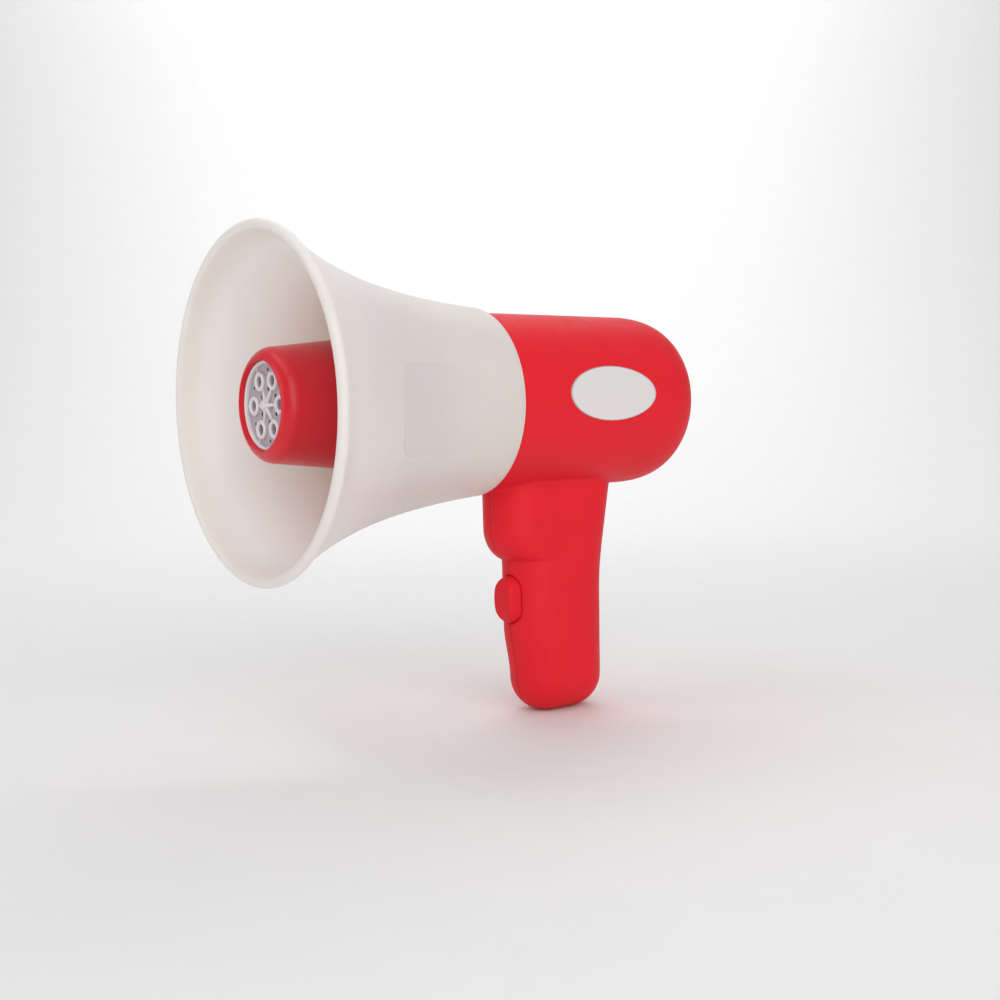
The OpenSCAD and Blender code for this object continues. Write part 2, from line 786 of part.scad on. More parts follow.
// A button with a rounded face, a flange inside the wall, a pin for the spring and a pad for the bridge
module trigger() {
    color(body_red) from_axis() {
        intersection() {
            trigger_bar(trigger_front, spring_seat - trigger_front, 0);
            translate([0, trigger_front + trigger_round_r, trigger_z]) rod_x(-far / 2, far, trigger_round_r);
        }
        intersection() {
            difference() {
                translate([0, grip_front, trigger_z - flange_half_h])
                    cylinder(h = 2 * flange_half_h, r = flange_out_r);
                translate([0, grip_front, trigger_z - far / 2]) cylinder(h = far, r = flange_in_r);
            }
            translate([-flange_half_w, 0, -far]) cube([2 * flange_half_w, grip_front, 2 * far]);
        }
        translate([0, 0, trigger_z]) rod_y(flange_back - 1, 3, pin_r);
        translate([-pin_r, flange_back - 0.5, bridge_z - bridge_h / 2])
            cube([2 * pin_r, bridge_back - bridge_t - flange_back + 0.5, bridge_h]);
    }
}

module trigger_spring() {
    color(steel) from_axis() translate([0, spring_seat, trigger_z]) rotate([-90, 0, 0])
        coil(spring_r, spring_r, spring_wire, spring_turns, base_front - spring_seat);
}

module contact_bridge() {
    color(brass) from_axis() translate([-bridge_half_w, bridge_back - bridge_t, bridge_z - bridge_h / 2])
        cube([2 * bridge_half_w, bridge_t, bridge_h]);
}

module switch_base() {
    color(dark_grey) from_axis() translate([-base_w / 2, base_front, trigger_z - base_h / 2])
        cube([base_w, base_t, base_h]);
}

module switch_contacts() {
    color(brass) from_axis() for (x = [-contact_in_x - contact_w, contact_in_x])
        translate([x, contact_front, contact_low])
            cube([contact_w, base_front - contact_front, contact_top - contact_low]);
}

// From the motor's left terminal down to the rear cell's tab
module lead_motor_red() {
    back = motor_s + motor_len + cap_t + terminal_len;
    x = terminal_x + terminal_t / 2 + lead_r + set_gap;
    top = box_top + box_wall + lead_r;
    color("#C2202C") from_axis() lead([[x, back - lead_lean, 0], [x, back + lead_lean, -lead_bend],
        [lead_neck_x, neck_rear - lead_lean, lead_neck_z],
        [lead_neck_x, cell_s + cell_pitch / 2 + lead_lean, top + lead_rise],
        [lead_neck_x / 2, cell_s + cell_pitch / 2, top]]);
}

// From the motor's right terminal down to the switch
module lead_motor_black() {
    back = motor_s + motor_len + cap_t + terminal_len;
    x = -terminal_x - terminal_t / 2 - lead_r - set_gap;
    color("#26272A") from_axis() lead([[x, back - lead_lean, 0], [x, back + lead_lean, -lead_bend],
        [-lead_bend, neck_rear - lead_rise, lead_neck_z],
        [-lead_bend, box_front - box_wall, box_top + lead_bend],
        [-lead_x, base_front - lead_r, trigger_z + lead_rise], [-lead_x, base_front - lead_r, contact_top]]);
}

// From the switch up over the battery box to the front cell's tab
module lead_battery_black() {
    top = box_top + box_wall + lead_r;
    turn_z = max(box_top, trigger_z + base_h / 2);
    color("#26272A") from_axis() lead([[lead_x, base_front - lead_r, contact_top],
        [lead_x, base_front - lead_r, turn_z - lead_lean],
        [lead_x, box_front - box_wall, turn_z + 2 * box_wall + lead_r],
        [lead_neck_x / 2, cell_s - cell_pitch / 2, top]]);
}

horn();
nozzle();
bubble_wand();
shell_left();
shell_right();
label_left();
shell_screws();
fan_housing();
fan_impeller();
motor_shaft();
motor_bush();
motor_can();
motor_end_cap();
motor_terminals();
battery_box();
battery_cell_front();
battery_cell_rear();
battery_springs();
battery_contacts();
battery_door();
door_screw();
trigger();
trigger_spring();
contact_bridge();
switch_base();
switch_contacts();
lead_motor_red();
lead_motor_black();
lead_battery_black();
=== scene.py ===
import json
import math

import bpy
import numpy as np
from mathutils import Matrix, Vector


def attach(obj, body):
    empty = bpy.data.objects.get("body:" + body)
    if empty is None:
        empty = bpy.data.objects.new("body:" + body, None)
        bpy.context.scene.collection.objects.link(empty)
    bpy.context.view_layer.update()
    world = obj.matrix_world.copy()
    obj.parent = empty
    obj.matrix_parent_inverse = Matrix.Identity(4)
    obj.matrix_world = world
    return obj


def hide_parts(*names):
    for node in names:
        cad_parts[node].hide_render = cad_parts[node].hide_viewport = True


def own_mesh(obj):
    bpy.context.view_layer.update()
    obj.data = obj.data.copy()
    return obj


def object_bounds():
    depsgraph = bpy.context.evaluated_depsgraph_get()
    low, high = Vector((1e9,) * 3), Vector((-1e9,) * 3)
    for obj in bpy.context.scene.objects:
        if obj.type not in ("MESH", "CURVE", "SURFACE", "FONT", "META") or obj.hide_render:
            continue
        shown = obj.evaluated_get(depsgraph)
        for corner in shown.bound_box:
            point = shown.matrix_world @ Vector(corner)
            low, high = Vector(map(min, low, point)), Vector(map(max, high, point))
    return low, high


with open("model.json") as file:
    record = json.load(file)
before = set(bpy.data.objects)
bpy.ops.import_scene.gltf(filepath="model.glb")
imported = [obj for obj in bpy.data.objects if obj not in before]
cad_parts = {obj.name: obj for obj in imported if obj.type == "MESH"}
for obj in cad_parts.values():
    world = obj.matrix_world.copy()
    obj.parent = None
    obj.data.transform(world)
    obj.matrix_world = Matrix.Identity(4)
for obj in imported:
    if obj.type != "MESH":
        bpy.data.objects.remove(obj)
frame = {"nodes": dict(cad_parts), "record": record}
cad_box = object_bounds()

# Lengths are in millimetres, in stations s along the horn from its mouth and heights z above
# its axis. Adding TO_PART to [x, s, z] gives the part's frame.
MM = 0.001
TO_PART = np.array([0.0, -155.65, 105.0])
TINY = 1e-9
SHARP_ANGLE = math.radians(40)

# Horn
MOUTH_R = 75.0
THROAT_R = 43.0
HORN_LEN = 110.0
WALL = 2.2
FLARE_LEN = 50.0
FLARE_S = 2.65
FLARE_R = 74.35
THROAT_FADE = math.exp(-HORN_LEN / FLARE_LEN)
FLARE_GAIN = (THROAT_R - FLARE_R) / (THROAT_FADE - math.exp(-FLARE_S / FLARE_LEN))
FLARE_BASE = THROAT_R - FLARE_GAIN * THROAT_FADE
LIP_R = 2.25
LIP_S = 2.1
LIP_FRONT_TURN = 45
LIP_BACK_TURN = -160
LIP_BACK_S = 12.0
LIP_INNER_S = 14.0
REAR_EDGE_R = 0.8
SEAT_R = 40.95
SEAT_S = 100.0
SEAT_BEVEL = 0.2
GROOVE_FRONT = 103.8
GROOVE_REAR = 106.2
GROOVE_DEPTH = 0.5
PANEL_S = 40.5
PANEL_LEN = 40.0
PANEL_Z = -4.0
PANEL_H = 38.0
PANEL_DEPTH = 0.55
PANEL_EDGE = 0.7
PANEL_CORNER = 6.8

# How the horn's points are spread: along its outside, as the station where each stretch ends and
# its count of points, and round it, as distances from the panel's edges and counts between them
OUTER_STRETCHES = [(90.0, 9), (50.0, 28), (38.5, 30), (LIP_BACK_S, 22)]
EDGE_STEPS = np.array([0.3, 0.55, 0.8, 1.1, 1.6, 2.2, 3.0])
EDGE_LINES = np.concatenate([-EDGE_STEPS[::-1], [0.0], EDGE_STEPS, [4.0, 5.2]])
PANEL_STEPS = 14
TOP_STEPS = 66
UNDER_STEPS = 56
LEAST_GRID_R = 40.0

# Barrel and handle
BARREL_R = 40.8
BARREL_FRONT = 100.15
DOME_S = 191.0
DOME_LEN = 36.0
DOME_POWER = 3.2
LEAST_SLOPE = 1e-4
HANDLE_R = 16.5
HANDLE_TOP_Z = -20.0
UNDER_Z = -40.8
NECK_FRONT = 136.5
NECK_REAR = 172.0
NECK_FILLET = 1.6
GRIP_FRONT = 146.9
GRIP_REAR = 164.4
END_FRONT = 149.9
END_REAR = 163.4
KNEE_Z = -59.3
REAR_KNEE_Z = -80.8
REAR_KNEE_SOFTNESS = 0.02
TAPER_Z = -105.8
END_Z = -131.3
FOOT_Z = -147.54
RIBS_S = (111.25, 117.4)
RIB_R = 36.85
RIB_HALF_T = 0.8
RIB_SINK = 0.5
SPLIT = 0.08
SPLIT_EDGE = 0.45

# Screw places in the body, with their posts and wells
SHELL_SCREWS = [(141.0, 25.8), (197.0, 25.8), (199.0, -25.8), (137.5, -54.3), (156.4, -136.3)]
SEAT_X = -8.0
POST_R = 4.75
POST_SINK = 0.8
POST_FILLET = 0.7
PILOT_R = 1.45
PILOT_X = 11.0
WELL_R = 3.1
WELL_EDGE = 0.4
HOLE_R = 1.65

# Air slots in the rear end
AIR_SLOTS = 3
AIR_SLOT_X = 5.0
AIR_SLOT_PITCH = 6.5
AIR_SLOT_HALF_H = 15.5
AIR_SLOT_STEP_H = 3.0
AIR_SLOT_R = 1.5
AIR_SLOT_S = 12.0
SLOT_EDGE = 0.5
FAR = 1e3

# Battery door
DOOR_LOW = (142.8, -130.5)
DOOR_HIGH = (173.5, -61.1)
DOOR_CORNER = 4.0
DOOR_GAP = 0.3
DOOR_EDGE = 0.5
DOOR_WAY_EDGE = 0.4
DOOR_LIFT_X = -2.0
DOOR_SCREW = (158.25, -67.6)
DOOR_SEAT_X = -13.5
BOSS_R = 4.3
BOSS_SINK = 0.4
BOSS_X = 11.6

# Trigger
TRIGGER_Z = -92.8
TRIGGER_FRONT = 125.1
TRIGGER_BACK = 135.0
TRIGGER_HALF_W = 6.5
TRIGGER_HALF_H = 11.0
TRIGGER_ROUND_R = 26.0
TRIGGER_EDGE = 2.2
TRIGGER_FLANGE_R = 14.0
TRIGGER_FLANGE_INNER_R = 12.4
TRIGGER_FLANGE_HALF_W = 8.7
TRIGGER_FLANGE_HALF_H = 13.0
TRIGGER_PIN_R = 1.5
TRIGGER_PAD_DROP = 8.0
TRIGGER_PAD_HALF_W = 1.5
TRIGGER_PAD_S = 135.2
TRIGGER_PAD_HALF_T = 0.8
SLIDE_GAP = 0.3
SLIDE_REACH = 4.0

# Nozzle
NOZZLE_S = 4.5
NOZZLE_R = 24.2
NOZZLE_LIP_R = 6.8
NOZZLE_LIP_TURN = -77.5
NOZZLE_TAPER = 0.109
NOZZLE_WALL = 2.0
NOZZLE_STEPS = 160
CONE_START = 1.5
LEDGE_W = 1.7
BORE_GAP = 0.15
BORE_EDGE = [(0.1, 0.05), (0.02, 0.16), (0.0, 0.35)]
BORE_NARROW_LEN = 5.0
BORE_WIDE_LEN = 12.0
FLANGE_R = 38.45
FLANGE_S = 112.2
FLANGE_T = 2.0
ROOT_FILLET = 0.6
ROOT_FILLET_MIDDLE = 0.17

# Wand
WAND_R = 18.5
WAND_S = 6.7
WAND_DEPTH = 3.0
WAND_SINK = 0.6
WAND_FLOOR = 0.8
WAND_FLOOR_INSET = 0.6
WAND_RIM_INSET = 0.65
WAND_RIM_FLAT = 0.25
WAND_RIM_ROUND = 0.4
WAND_RIM_FILLET = 0.4
WAND_FLOOR_FILLET = 0.2
HUB_R = 1.85
HUB_RISE = 1.7
HUB_ROUND = 0.65
HUB_FILLET = 0.4
RING_COUNT = 6
RING_AT = 11.47
RING_R = 4.107
RING_WALL = 1.85
SPOKE_T = 1.6
VENTS = [(7.03, 1.1), (14.8, 0.8)]
VENT_EDGE = 0.3

# Screws, with lengths from the seat under the head
HEAD_R = 2.7
HEAD_T = 2.0
HEAD_EDGE = 1.1
SCREW_R = 1.4
SHELL_SCREW_LEN = 16.9
DOOR_SCREW_LEN = 8.9
SHANK_ROOT = 0.5
THREAD_DEPTH = 0.12
THREAD_PITCH = 1.2
POINT_R = 0.3
POINT_SLOPE = 0.6
CROSS_LEN = 1.755
CROSS_T = 0.35
CROSS_DEPTH = 0.9
CROSS_DRAFT = 0.12
CROSS_EDGE = 0.12

# Trigger spring
SPRING_S = 134.99
SPRING_LEN = 5.51
SPRING_R = 3.2
SPRING_WIRE = 0.25
SPRING_TURNS = 3.5
COIL_SIDES = 8
COIL_STEPS = 32

# Cells and their springs
CELL_R = 7.25
CELL_LEN = 50.5
CELL_BUTTON_R = 2.75
CELL_BUTTON_H = 1.0
CELL_FLOOR = -129.0
CELL_FRONT_S = 150.85
CELL_REAR_S = 165.65
CELL_STEPS = 48
CELL_BAND = 14.0
CELL_BAND_BLUR = 0.1
CELL_BUTTON_STEEL = 0.3
CELL_FLAT_STEEL = 0.4
CELL_SPRING_H = 5.0
CELL_SPRING_R = 5.0
CELL_SPRING_TIP_R = 2.6
CELL_SPRING_WIRE = 0.4
CELL_SPRING_TURNS = 3

# Label
LABEL_S = 163.0
LABEL_Z = 2.3
LABEL_HALF_LEN = 26.0
LABEL_HALF_H = 12.5
LABEL_T = 0.3
LABEL_LINE = (0.93, 0.96)
LABEL_EDGE = np.array([0.955, 0.97, 0.985, 0.994, 0.9985, 1.0])
LABEL_FLAT = 0.92
LABEL_STEPS = 24


def smooth_min(a, b, k):
    """The lower of two distances, with a fillet about k wide where they meet."""
    h = np.clip(0.5 + 0.5 * (b - a) / k, 0.0, 1.0)
    return b + (a - b) * h - k * h * (1.0 - h)


def smooth_max(a, b, k):
    """The higher of two distances, with an edge rounded about k wide."""
    return -smooth_min(-a, -b, k)


def rounded(a, b, radius):
    """Distance to a corner with a radius, from the distances past the two sides of its core."""
    return np.hypot(np.maximum(a, 0), np.maximum(b, 0)) + np.minimum(np.maximum(a, b), 0) - radius


def ease(share):
    """A share from zero to one that starts and stops gently."""
    return share * share * (3 - 2 * share)


def slope(distance, points, step=0.02):
    """Gradient of a distance at points."""
    result = np.empty_like(points)
    for axis in range(3):
        ahead = points.copy()
        behind = points.copy()
        ahead[:, axis] += step
        behind[:, axis] -= step
        result[:, axis] = (distance(*ahead.T) - distance(*behind.T)) / (2 * step)
    return result


def unit(vectors):
    """Vectors scaled to length one."""
    return vectors / np.maximum(np.linalg.norm(vectors, axis=1), TINY)[:, None]


def crossings(distance, lines, solid, axis, halvings=12):
    """Index, place of the cut and side of the solid for the grid edges that the surface cuts."""
    low = [slice(None)] * 3
    high = [slice(None)] * 3
    low[axis] = slice(0, -1)
    high[axis] = slice(1, None)
    index = np.argwhere(solid[tuple(low)] != solid[tuple(high)])
    start = np.stack([lines[k][index[:, k]] for k in range(3)], axis=1)
    stop = start.copy()
    stop[:, axis] = lines[axis][index[:, axis] + 1]
    start_solid = solid[tuple(index.T)]
    for _ in range(halvings):
        middle = (start + stop) / 2
        same = (distance(*middle.T) < 0) == start_solid
        start = np.where(same[:, None], middle, start)
        stop = np.where(same[:, None], stop, middle)
    return index, (start + stop) / 2, start_solid


def best_points(spots, normals, member, count, pull=0.03):
    """The point of each cell that lies nearest to the tangent planes at its crossings."""
    share = np.bincount(member).astype(float)[:, None]
    middle = np.stack([np.bincount(member, spots[:, k]) for k in range(3)], axis=1) / share
    away = np.sum(normals * (spots - middle[member]), axis=1)
    square = np.empty((count, 3, 3))
    target = np.empty((count, 3))
    for i in range(3):
        target[:, i] = np.bincount(member, normals[:, i] * away)
        for j in range(3):
            square[:, i, j] = np.bincount(member, normals[:, i] * normals[:, j])
    square += pull * np.eye(3)
    return middle + np.linalg.solve(square, target[:, :, None])[:, :, 0]


def settle(distance, points, rounds=2, least_grade=0.25, most=0.3):
    """Moves points onto the surface along its gradient."""
    for _ in range(rounds):
        grade = slope(distance, points)
        away = distance(*points.T) / np.maximum(np.sum(grade * grade, axis=1), least_grade)
        points -= np.clip(away, -most, most)[:, None] * grade
    return points


def contour(distance, lines):
    """Closed mesh of quads where the distance is zero, with sharp edges kept, on a grid of lines."""
    field = distance(*np.meshgrid(*lines, indexing="ij"))
    solid = field < 0
    cells = np.array(field.shape) - 1
    cell_ids, spots, normals, quads = [], [], [], []
    for axis in range(3):
        index, spot, start_solid = crossings(distance, lines, solid, axis)
        normal = unit(slope(distance, spot))
        first, second = (axis + 1) % 3, (axis + 2) % 3
        corners = []
        for back_first, back_second in ((1, 1), (0, 1), (0, 0), (1, 0)):
            cell = index.copy()
            cell[:, first] -= back_first
            cell[:, second] -= back_second
            corners.append(np.ravel_multi_index(cell.T, cells))
            cell_ids.append(corners[-1])
            spots.append(spot)
            normals.append(normal)
        quad = np.stack(corners, axis=1)
        quad[~start_solid] = quad[~start_solid][:, ::-1]
        quads.append(quad)
    used, member = np.unique(np.concatenate(cell_ids), return_inverse=True)
    points = best_points(np.concatenate(spots), np.concatenate(normals), member, len(used))
    corner = np.stack(np.unravel_index(used, cells), axis=1)
    for k in range(3):
        points[:, k] = np.clip(points[:, k], lines[k][corner[:, k]], lines[k][corner[:, k] + 1])
    return settle(distance, points), np.searchsorted(used, np.concatenate(quads))


def corner_normals(distance, points, faces, inset=0.2, smooth_angle=18):
    """Exact normals for every face corner, split only where an edge is sharp."""
    centre = points[faces].mean(axis=1)
    inward = points[faces] + inset * (centre[:, None, :] - points[faces])
    own = unit(slope(distance, inward.reshape(-1, 3)))
    shared = unit(slope(distance, points))[faces.reshape(-1)]
    smooth = np.sum(own * shared, axis=1) > math.cos(math.radians(smooth_angle))
    return np.where(smooth[:, None], shared, own)


def add_piece(name, points, faces, body, nodes, material, normals=None):
    """A mesh in the part's frame that stands for CAD nodes and rides on a body."""
    mesh = bpy.data.meshes.new(name)
    rows = faces.tolist() if isinstance(faces, np.ndarray) else faces
    mesh.from_pydata(((points + TO_PART) * MM).tolist(), [], rows)
    mesh.materials.append(material)
    mesh.shade_smooth()
    if normals is not None:
        mesh.normals_split_custom_set(normals.tolist())
    piece = bpy.data.objects.new(name, mesh)
    bpy.context.scene.collection.objects.link(piece)
    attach(piece, body)
    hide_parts(*nodes)
    return piece


def add_contoured(name, distance, lines, body, nodes, material):
    """A piece whose surface is where a distance is zero."""
    points, faces = contour(distance, lines)
    normals = corner_normals(distance, points, faces)
    return add_piece(name, points, faces, body, nodes, material, normals)


def tube_quads(rings, steps, closed=False):
    """Quads between rings of points, each ring with the same count of steps round it."""
    spans = rings if closed else rings - 1
    ring, step = np.meshgrid(np.arange(spans), np.arange(steps), indexing="ij")
    next_ring, next_step = (ring + 1) % rings, (step + 1) % steps
    quads = np.stack([ring * steps + step, ring * steps + next_step,
                      next_ring * steps + next_step, next_ring * steps + step], axis=-1)
    return quads.reshape(-1, 4)


def turned(radii, stations, angles):
    """Points and quads of a closed profile turned about the horn's axis."""
    points = np.empty((*radii.shape, 3))
    points[:, :, 0] = radii * np.cos(angles)
    points[:, :, 1] = stations[:, None]
    points[:, :, 2] = radii * np.sin(angles)
    return points.reshape(-1, 3), tube_quads(*radii.shape, closed=True)


def arc(centre, radius, start, stop, count):
    """Points of an arc in [radius, station], from one angle to another in degrees."""
    turn = np.radians(np.linspace(start, stop, count))
    return np.stack([centre[0] + radius * np.cos(turn), centre[1] + radius * np.sin(turn)], axis=1)


def bridge(before, start, stop, after, count):
    """Points of a smooth curve between two outlines, without its ends."""
    reach = np.linalg.norm(stop - start) / 3
    leave = (start - before) / np.linalg.norm(start - before)
    arrive = (after - stop) / np.linalg.norm(after - stop)
    t = np.linspace(0, 1, count)[1:-1, None]
    rest = 1 - t
    return (start * rest ** 3 + (start + reach * leave) * 3 * t * rest ** 2
            + (stop - reach * arrive) * 3 * t ** 2 * rest + stop * t ** 3)


def even_lines(low, high, cell):
    """Grid lines from low to high, no more than a cell apart."""
    return np.linspace(low, high, int(math.ceil((high - low) / cell)) + 1)


# Materials: texture scales are per metre, and noise counts between a low and a high level
CLOUD_SCALE = 38.0
SMEAR_SCALE = 150.0
SPECK_SCALE = 1600.0
NOISE_LOW = 0.3
NOISE_HIGH = 0.7
GLOSS_SPREAD = 0.05
LEAST_ROUGHNESS = 0.02
GRAIN_HEIGHT = 0.0004
SCATTER_BY_COLOUR = (1.0, 0.9, 0.82)
MIX_A = 6
MIX_B = 7
MIX_RESULT = 2


def node_of(tree, kind, **inputs):
    """A new node with values on its inputs. An underscore in a key stands for a space."""
    node = tree.nodes.new(kind)
    for key, value in inputs.items():
        node.inputs[key.replace("_", " ")].default_value = value
    return node


def moulded(name, colour, roughness, grain=0.05, mottle=0.04, scatter=0.0, depth=0.0,
            coat=0.0, metal=0.0, shine=0.5):
    """Moulded plastic or plated metal: cloudy colour, uneven gloss and a fine skin texture."""
    material = bpy.data.materials.new(name)
    material.use_nodes = True
    tree = material.node_tree
    shader = tree.nodes["Principled BSDF"]
    place = tree.nodes.new("ShaderNodeTexCoord")
    cloud = node_of(tree, "ShaderNodeTexNoise", Scale=CLOUD_SCALE, Detail=4.0, Roughness=0.55)
    smear = node_of(tree, "ShaderNodeTexNoise", Scale=SMEAR_SCALE, Detail=3.0, Roughness=0.6)
    for texture in (cloud, smear):
        tree.links.new(place.outputs["Object"], texture.inputs["Vector"])
    tint = tree.nodes.new("ShaderNodeValToRGB")
    dark, light = tint.color_ramp.elements
    dark.position = NOISE_LOW
    light.position = NOISE_HIGH
    dark.color = (*[c * (1 - mottle) for c in colour], 1)
    light.color = (*[min(c * (1 + mottle), 1.0) for c in colour], 1)
    tree.links.new(cloud.outputs["Fac"], tint.inputs["Fac"])
    tree.links.new(tint.outputs["Color"], shader.inputs["Base Color"])
    gloss = node_of(tree, "ShaderNodeMapRange", From_Min=NOISE_LOW, From_Max=NOISE_HIGH,
                    To_Min=max(roughness - GLOSS_SPREAD, LEAST_ROUGHNESS),
                    To_Max=roughness + GLOSS_SPREAD)
    tree.links.new(smear.outputs["Fac"], gloss.inputs["Value"])
    tree.links.new(gloss.outputs["Result"], shader.inputs["Roughness"])
    if grain:
        speck = node_of(tree, "ShaderNodeTexNoise", Scale=SPECK_SCALE, Detail=2.0, Roughness=0.6)
        tree.links.new(place.outputs["Object"], speck.inputs["Vector"])
        relief = node_of(tree, "ShaderNodeBump", Strength=grain, Distance=GRAIN_HEIGHT)
        tree.links.new(speck.outputs["Fac"], relief.inputs["Height"])
        tree.links.new(relief.outputs["Normal"], shader.inputs["Normal"])
    shader.inputs["Metallic"].default_value = metal
    shader.inputs["Coat Weight"].default_value = coat
    shader.inputs["Specular IOR Level"].default_value = shine
    if scatter:
        shader.inputs["Subsurface Weight"].default_value = scatter
        shader.inputs["Subsurface Radius"].default_value = [c * depth * MM for c in SCATTER_BY_COLOUR]
        shader.inputs["Subsurface Scale"].default_value = 1.0
    return material


def overlay(material, mask, colour):
    """Lays a second colour over a material where the mask is one."""
    tree = material.node_tree
    shader = tree.nodes["Principled BSDF"]
    mix = tree.nodes.new("ShaderNodeMix")
    mix.data_type = "RGBA"
    plain = shader.inputs["Base Color"].links[0].from_socket
    tree.links.new(mask, mix.inputs["Factor"])
    tree.links.new(plain, mix.inputs[MIX_A])
    mix.inputs[MIX_B].default_value = (*colour, 1)
    tree.links.new(mix.outputs[MIX_RESULT], shader.inputs["Base Color"])


def part_axis(tree, axis):
    """The place along an axis of the part, in metres."""
    place = tree.nodes.new("ShaderNodeTexCoord")
    split = tree.nodes.new("ShaderNodeSeparateXYZ")
    tree.links.new(place.outputs["Object"], split.inputs["Vector"])
    return split.outputs[axis]


def maths(tree, operation, first, second):
    """The result of a Math node on a socket and a second socket or a number."""
    node = tree.nodes.new("ShaderNodeMath")
    node.operation = operation
    tree.links.new(first, node.inputs[0])
    if isinstance(second, bpy.types.NodeSocket):
        tree.links.new(second, node.inputs[1])
    else:
        node.inputs[1].default_value = second
    return node.outputs[0]


def rise(material, axis, start, stop, low=0.0, high=1.0):
    """A value that goes from low to high between two places along an axis of the part."""
    tree = material.node_tree
    band = node_of(tree, "ShaderNodeMapRange", From_Min=start * MM, From_Max=stop * MM,
                   To_Min=low, To_Max=high)
    tree.links.new(part_axis(tree, axis), band.inputs["Value"])
    return band.outputs["Result"]


def horn_plastic():
    """White plastic that lets light through at the thin flare, and less so towards the throat."""
    material = moulded("horn_plastic", (0.72, 0.667, 0.63), 0.42, grain=0.05, mottle=0.015,
                       scatter=1.0, depth=16.0, shine=0.4)
    clear_s, dense_s = 30.0, 90.0
    reach = rise(material, "Y", clear_s + TO_PART[1], dense_s + TO_PART[1], low=1.0, high=0.15)
    tree = material.node_tree
    tree.links.new(reach, tree.nodes["Principled BSDF"].inputs["Subsurface Scale"])
    return material


def wand_plastic():
    """White plastic, with painted shade: darker and mauve on the floor of its recesses."""
    material = moulded("wand_plastic", (0.78, 0.745, 0.765), 0.34, grain=0.02, mottle=0.02,
                       scatter=0.1, depth=0.6)
    floor_y = WAND_S + WAND_DEPTH - WAND_FLOOR + TO_PART[1]
    start, stop = floor_y - 1.2, floor_y - 0.2
    # Painted shade: the recess floors are painted darker and mauve.
    overlay(material, rise(material, "Y", start, stop), (0.51, 0.44, 0.485))
    return material


def cell_jacket(name, button_z, flat_z):
    """Dark jacket with a copper band at the button end, and bare steel at both ends."""
    material = moulded(name, (0.03, 0.035, 0.05), 0.34, grain=0.02, mottle=0.04, coat=0.4)
    tree = material.node_tree
    up = 1 if button_z > flat_z else -1
    blur = up * CELL_BAND_BLUR
    band = button_z - up * CELL_BAND
    overlay(material, rise(material, "Z", band - blur, band + blur), (0.50, 0.27, 0.11))
    button_end = button_z - up * (CELL_BUTTON_H + CELL_BUTTON_STEEL)
    flat_end = flat_z + up * CELL_FLAT_STEEL
    steel = maths(tree, "MAXIMUM", rise(material, "Z", button_end, button_end + blur),
                  rise(material, "Z", flat_end, flat_end - blur))
    overlay(material, steel, (0.62, 0.62, 0.61))
    tree.links.new(steel, tree.nodes["Principled BSDF"].inputs["Metallic"])
    return material


def label_film():
    """Plain white film with a thin grey line round its edge."""
    material = moulded("label_film", (0.74, 0.70, 0.70), 0.34, grain=0.0, mottle=0.012)
    tree = material.node_tree
    squares = []
    for axis, middle, half in (("Y", LABEL_S + TO_PART[1], LABEL_HALF_LEN),
                               ("Z", LABEL_Z + TO_PART[2], LABEL_HALF_H)):
        shift = maths(tree, "SUBTRACT", part_axis(tree, axis), middle * MM)
        squares.append(maths(tree, "POWER", maths(tree, "DIVIDE", shift, half * MM), 2.0))
    band = node_of(tree, "ShaderNodeMapRange", From_Min=LABEL_LINE[0], From_Max=LABEL_LINE[1])
    tree.links.new(maths(tree, "ADD", *squares), band.inputs["Value"])
    overlay(material, band.outputs["Result"], (0.42, 0.36, 0.34))
    return material


HORN_PLASTIC = horn_plastic()
RED_PLASTIC = moulded("red_plastic", (0.76, 0.018, 0.030), 0.48, mottle=0.03, shine=0.12)
# The nozzle is the same red plastic as the body, glossier, with its colour painted darker as painted
# shade from the horn round it.
NOZZLE_SHADED_RED = moulded("nozzle_shaded_red", (0.70, 0.012, 0.024), 0.33, grain=0.0, mottle=0.02,
                         shine=0.4)
WAND_PLASTIC = wand_plastic()
DARK_PLASTIC = moulded("dark_plastic", (0.035, 0.036, 0.04), 0.5, grain=0.12, mottle=0.1)
FAN_PLASTIC = moulded("fan_plastic", (0.78, 0.77, 0.73), 0.4, grain=0.04, mottle=0.02)
MOTOR_METAL = moulded("motor_metal", (0.58, 0.58, 0.60), 0.34, mottle=0.05, metal=1.0)
SCREW_STEEL = moulded("screw_steel", (0.55, 0.55, 0.56), 0.34, mottle=0.06, metal=1.0)
BRASS = moulded("brass", (0.72, 0.50, 0.20), 0.34, grain=0.04, mottle=0.07, metal=1.0)
WIRE_RED = moulded("wire_red", (0.5, 0.015, 0.02), 0.45, grain=0.03, mottle=0.05)
WIRE_BLACK = moulded("wire_black", (0.012, 0.012, 0.013), 0.45, grain=0.03, mottle=0.1)
LABEL_FILM = label_film()
SLOT_MATERIALS = {
    "horn_white": HORN_PLASTIC,
    "body_red": RED_PLASTIC,
    "wand_white": WAND_PLASTIC,
    "label_white": LABEL_FILM,
    "dark_plastic": DARK_PLASTIC,
    "fan_plastic": FAN_PLASTIC,
    "motor_metal": MOTOR_METAL,
    "screw_steel": SCREW_STEEL,
    "brass": BRASS,
    "cell_jacket": DARK_PLASTIC,
    "wire_red": WIRE_RED,
    "wire_black": WIRE_BLACK,
}
for row in frame["record"]["subparts"]:
    node = frame["nodes"][row["node"]]
    node.data.materials.clear()
    node.data.materials.append(SLOT_MATERIALS[row["material_slot"]])


# Horn: a flared wall between a smooth lip and a rounded rear edge
def flare(s):
    """Outer radius of the horn."""
    return FLARE_BASE + FLARE_GAIN * np.exp(-s / FLARE_LEN)


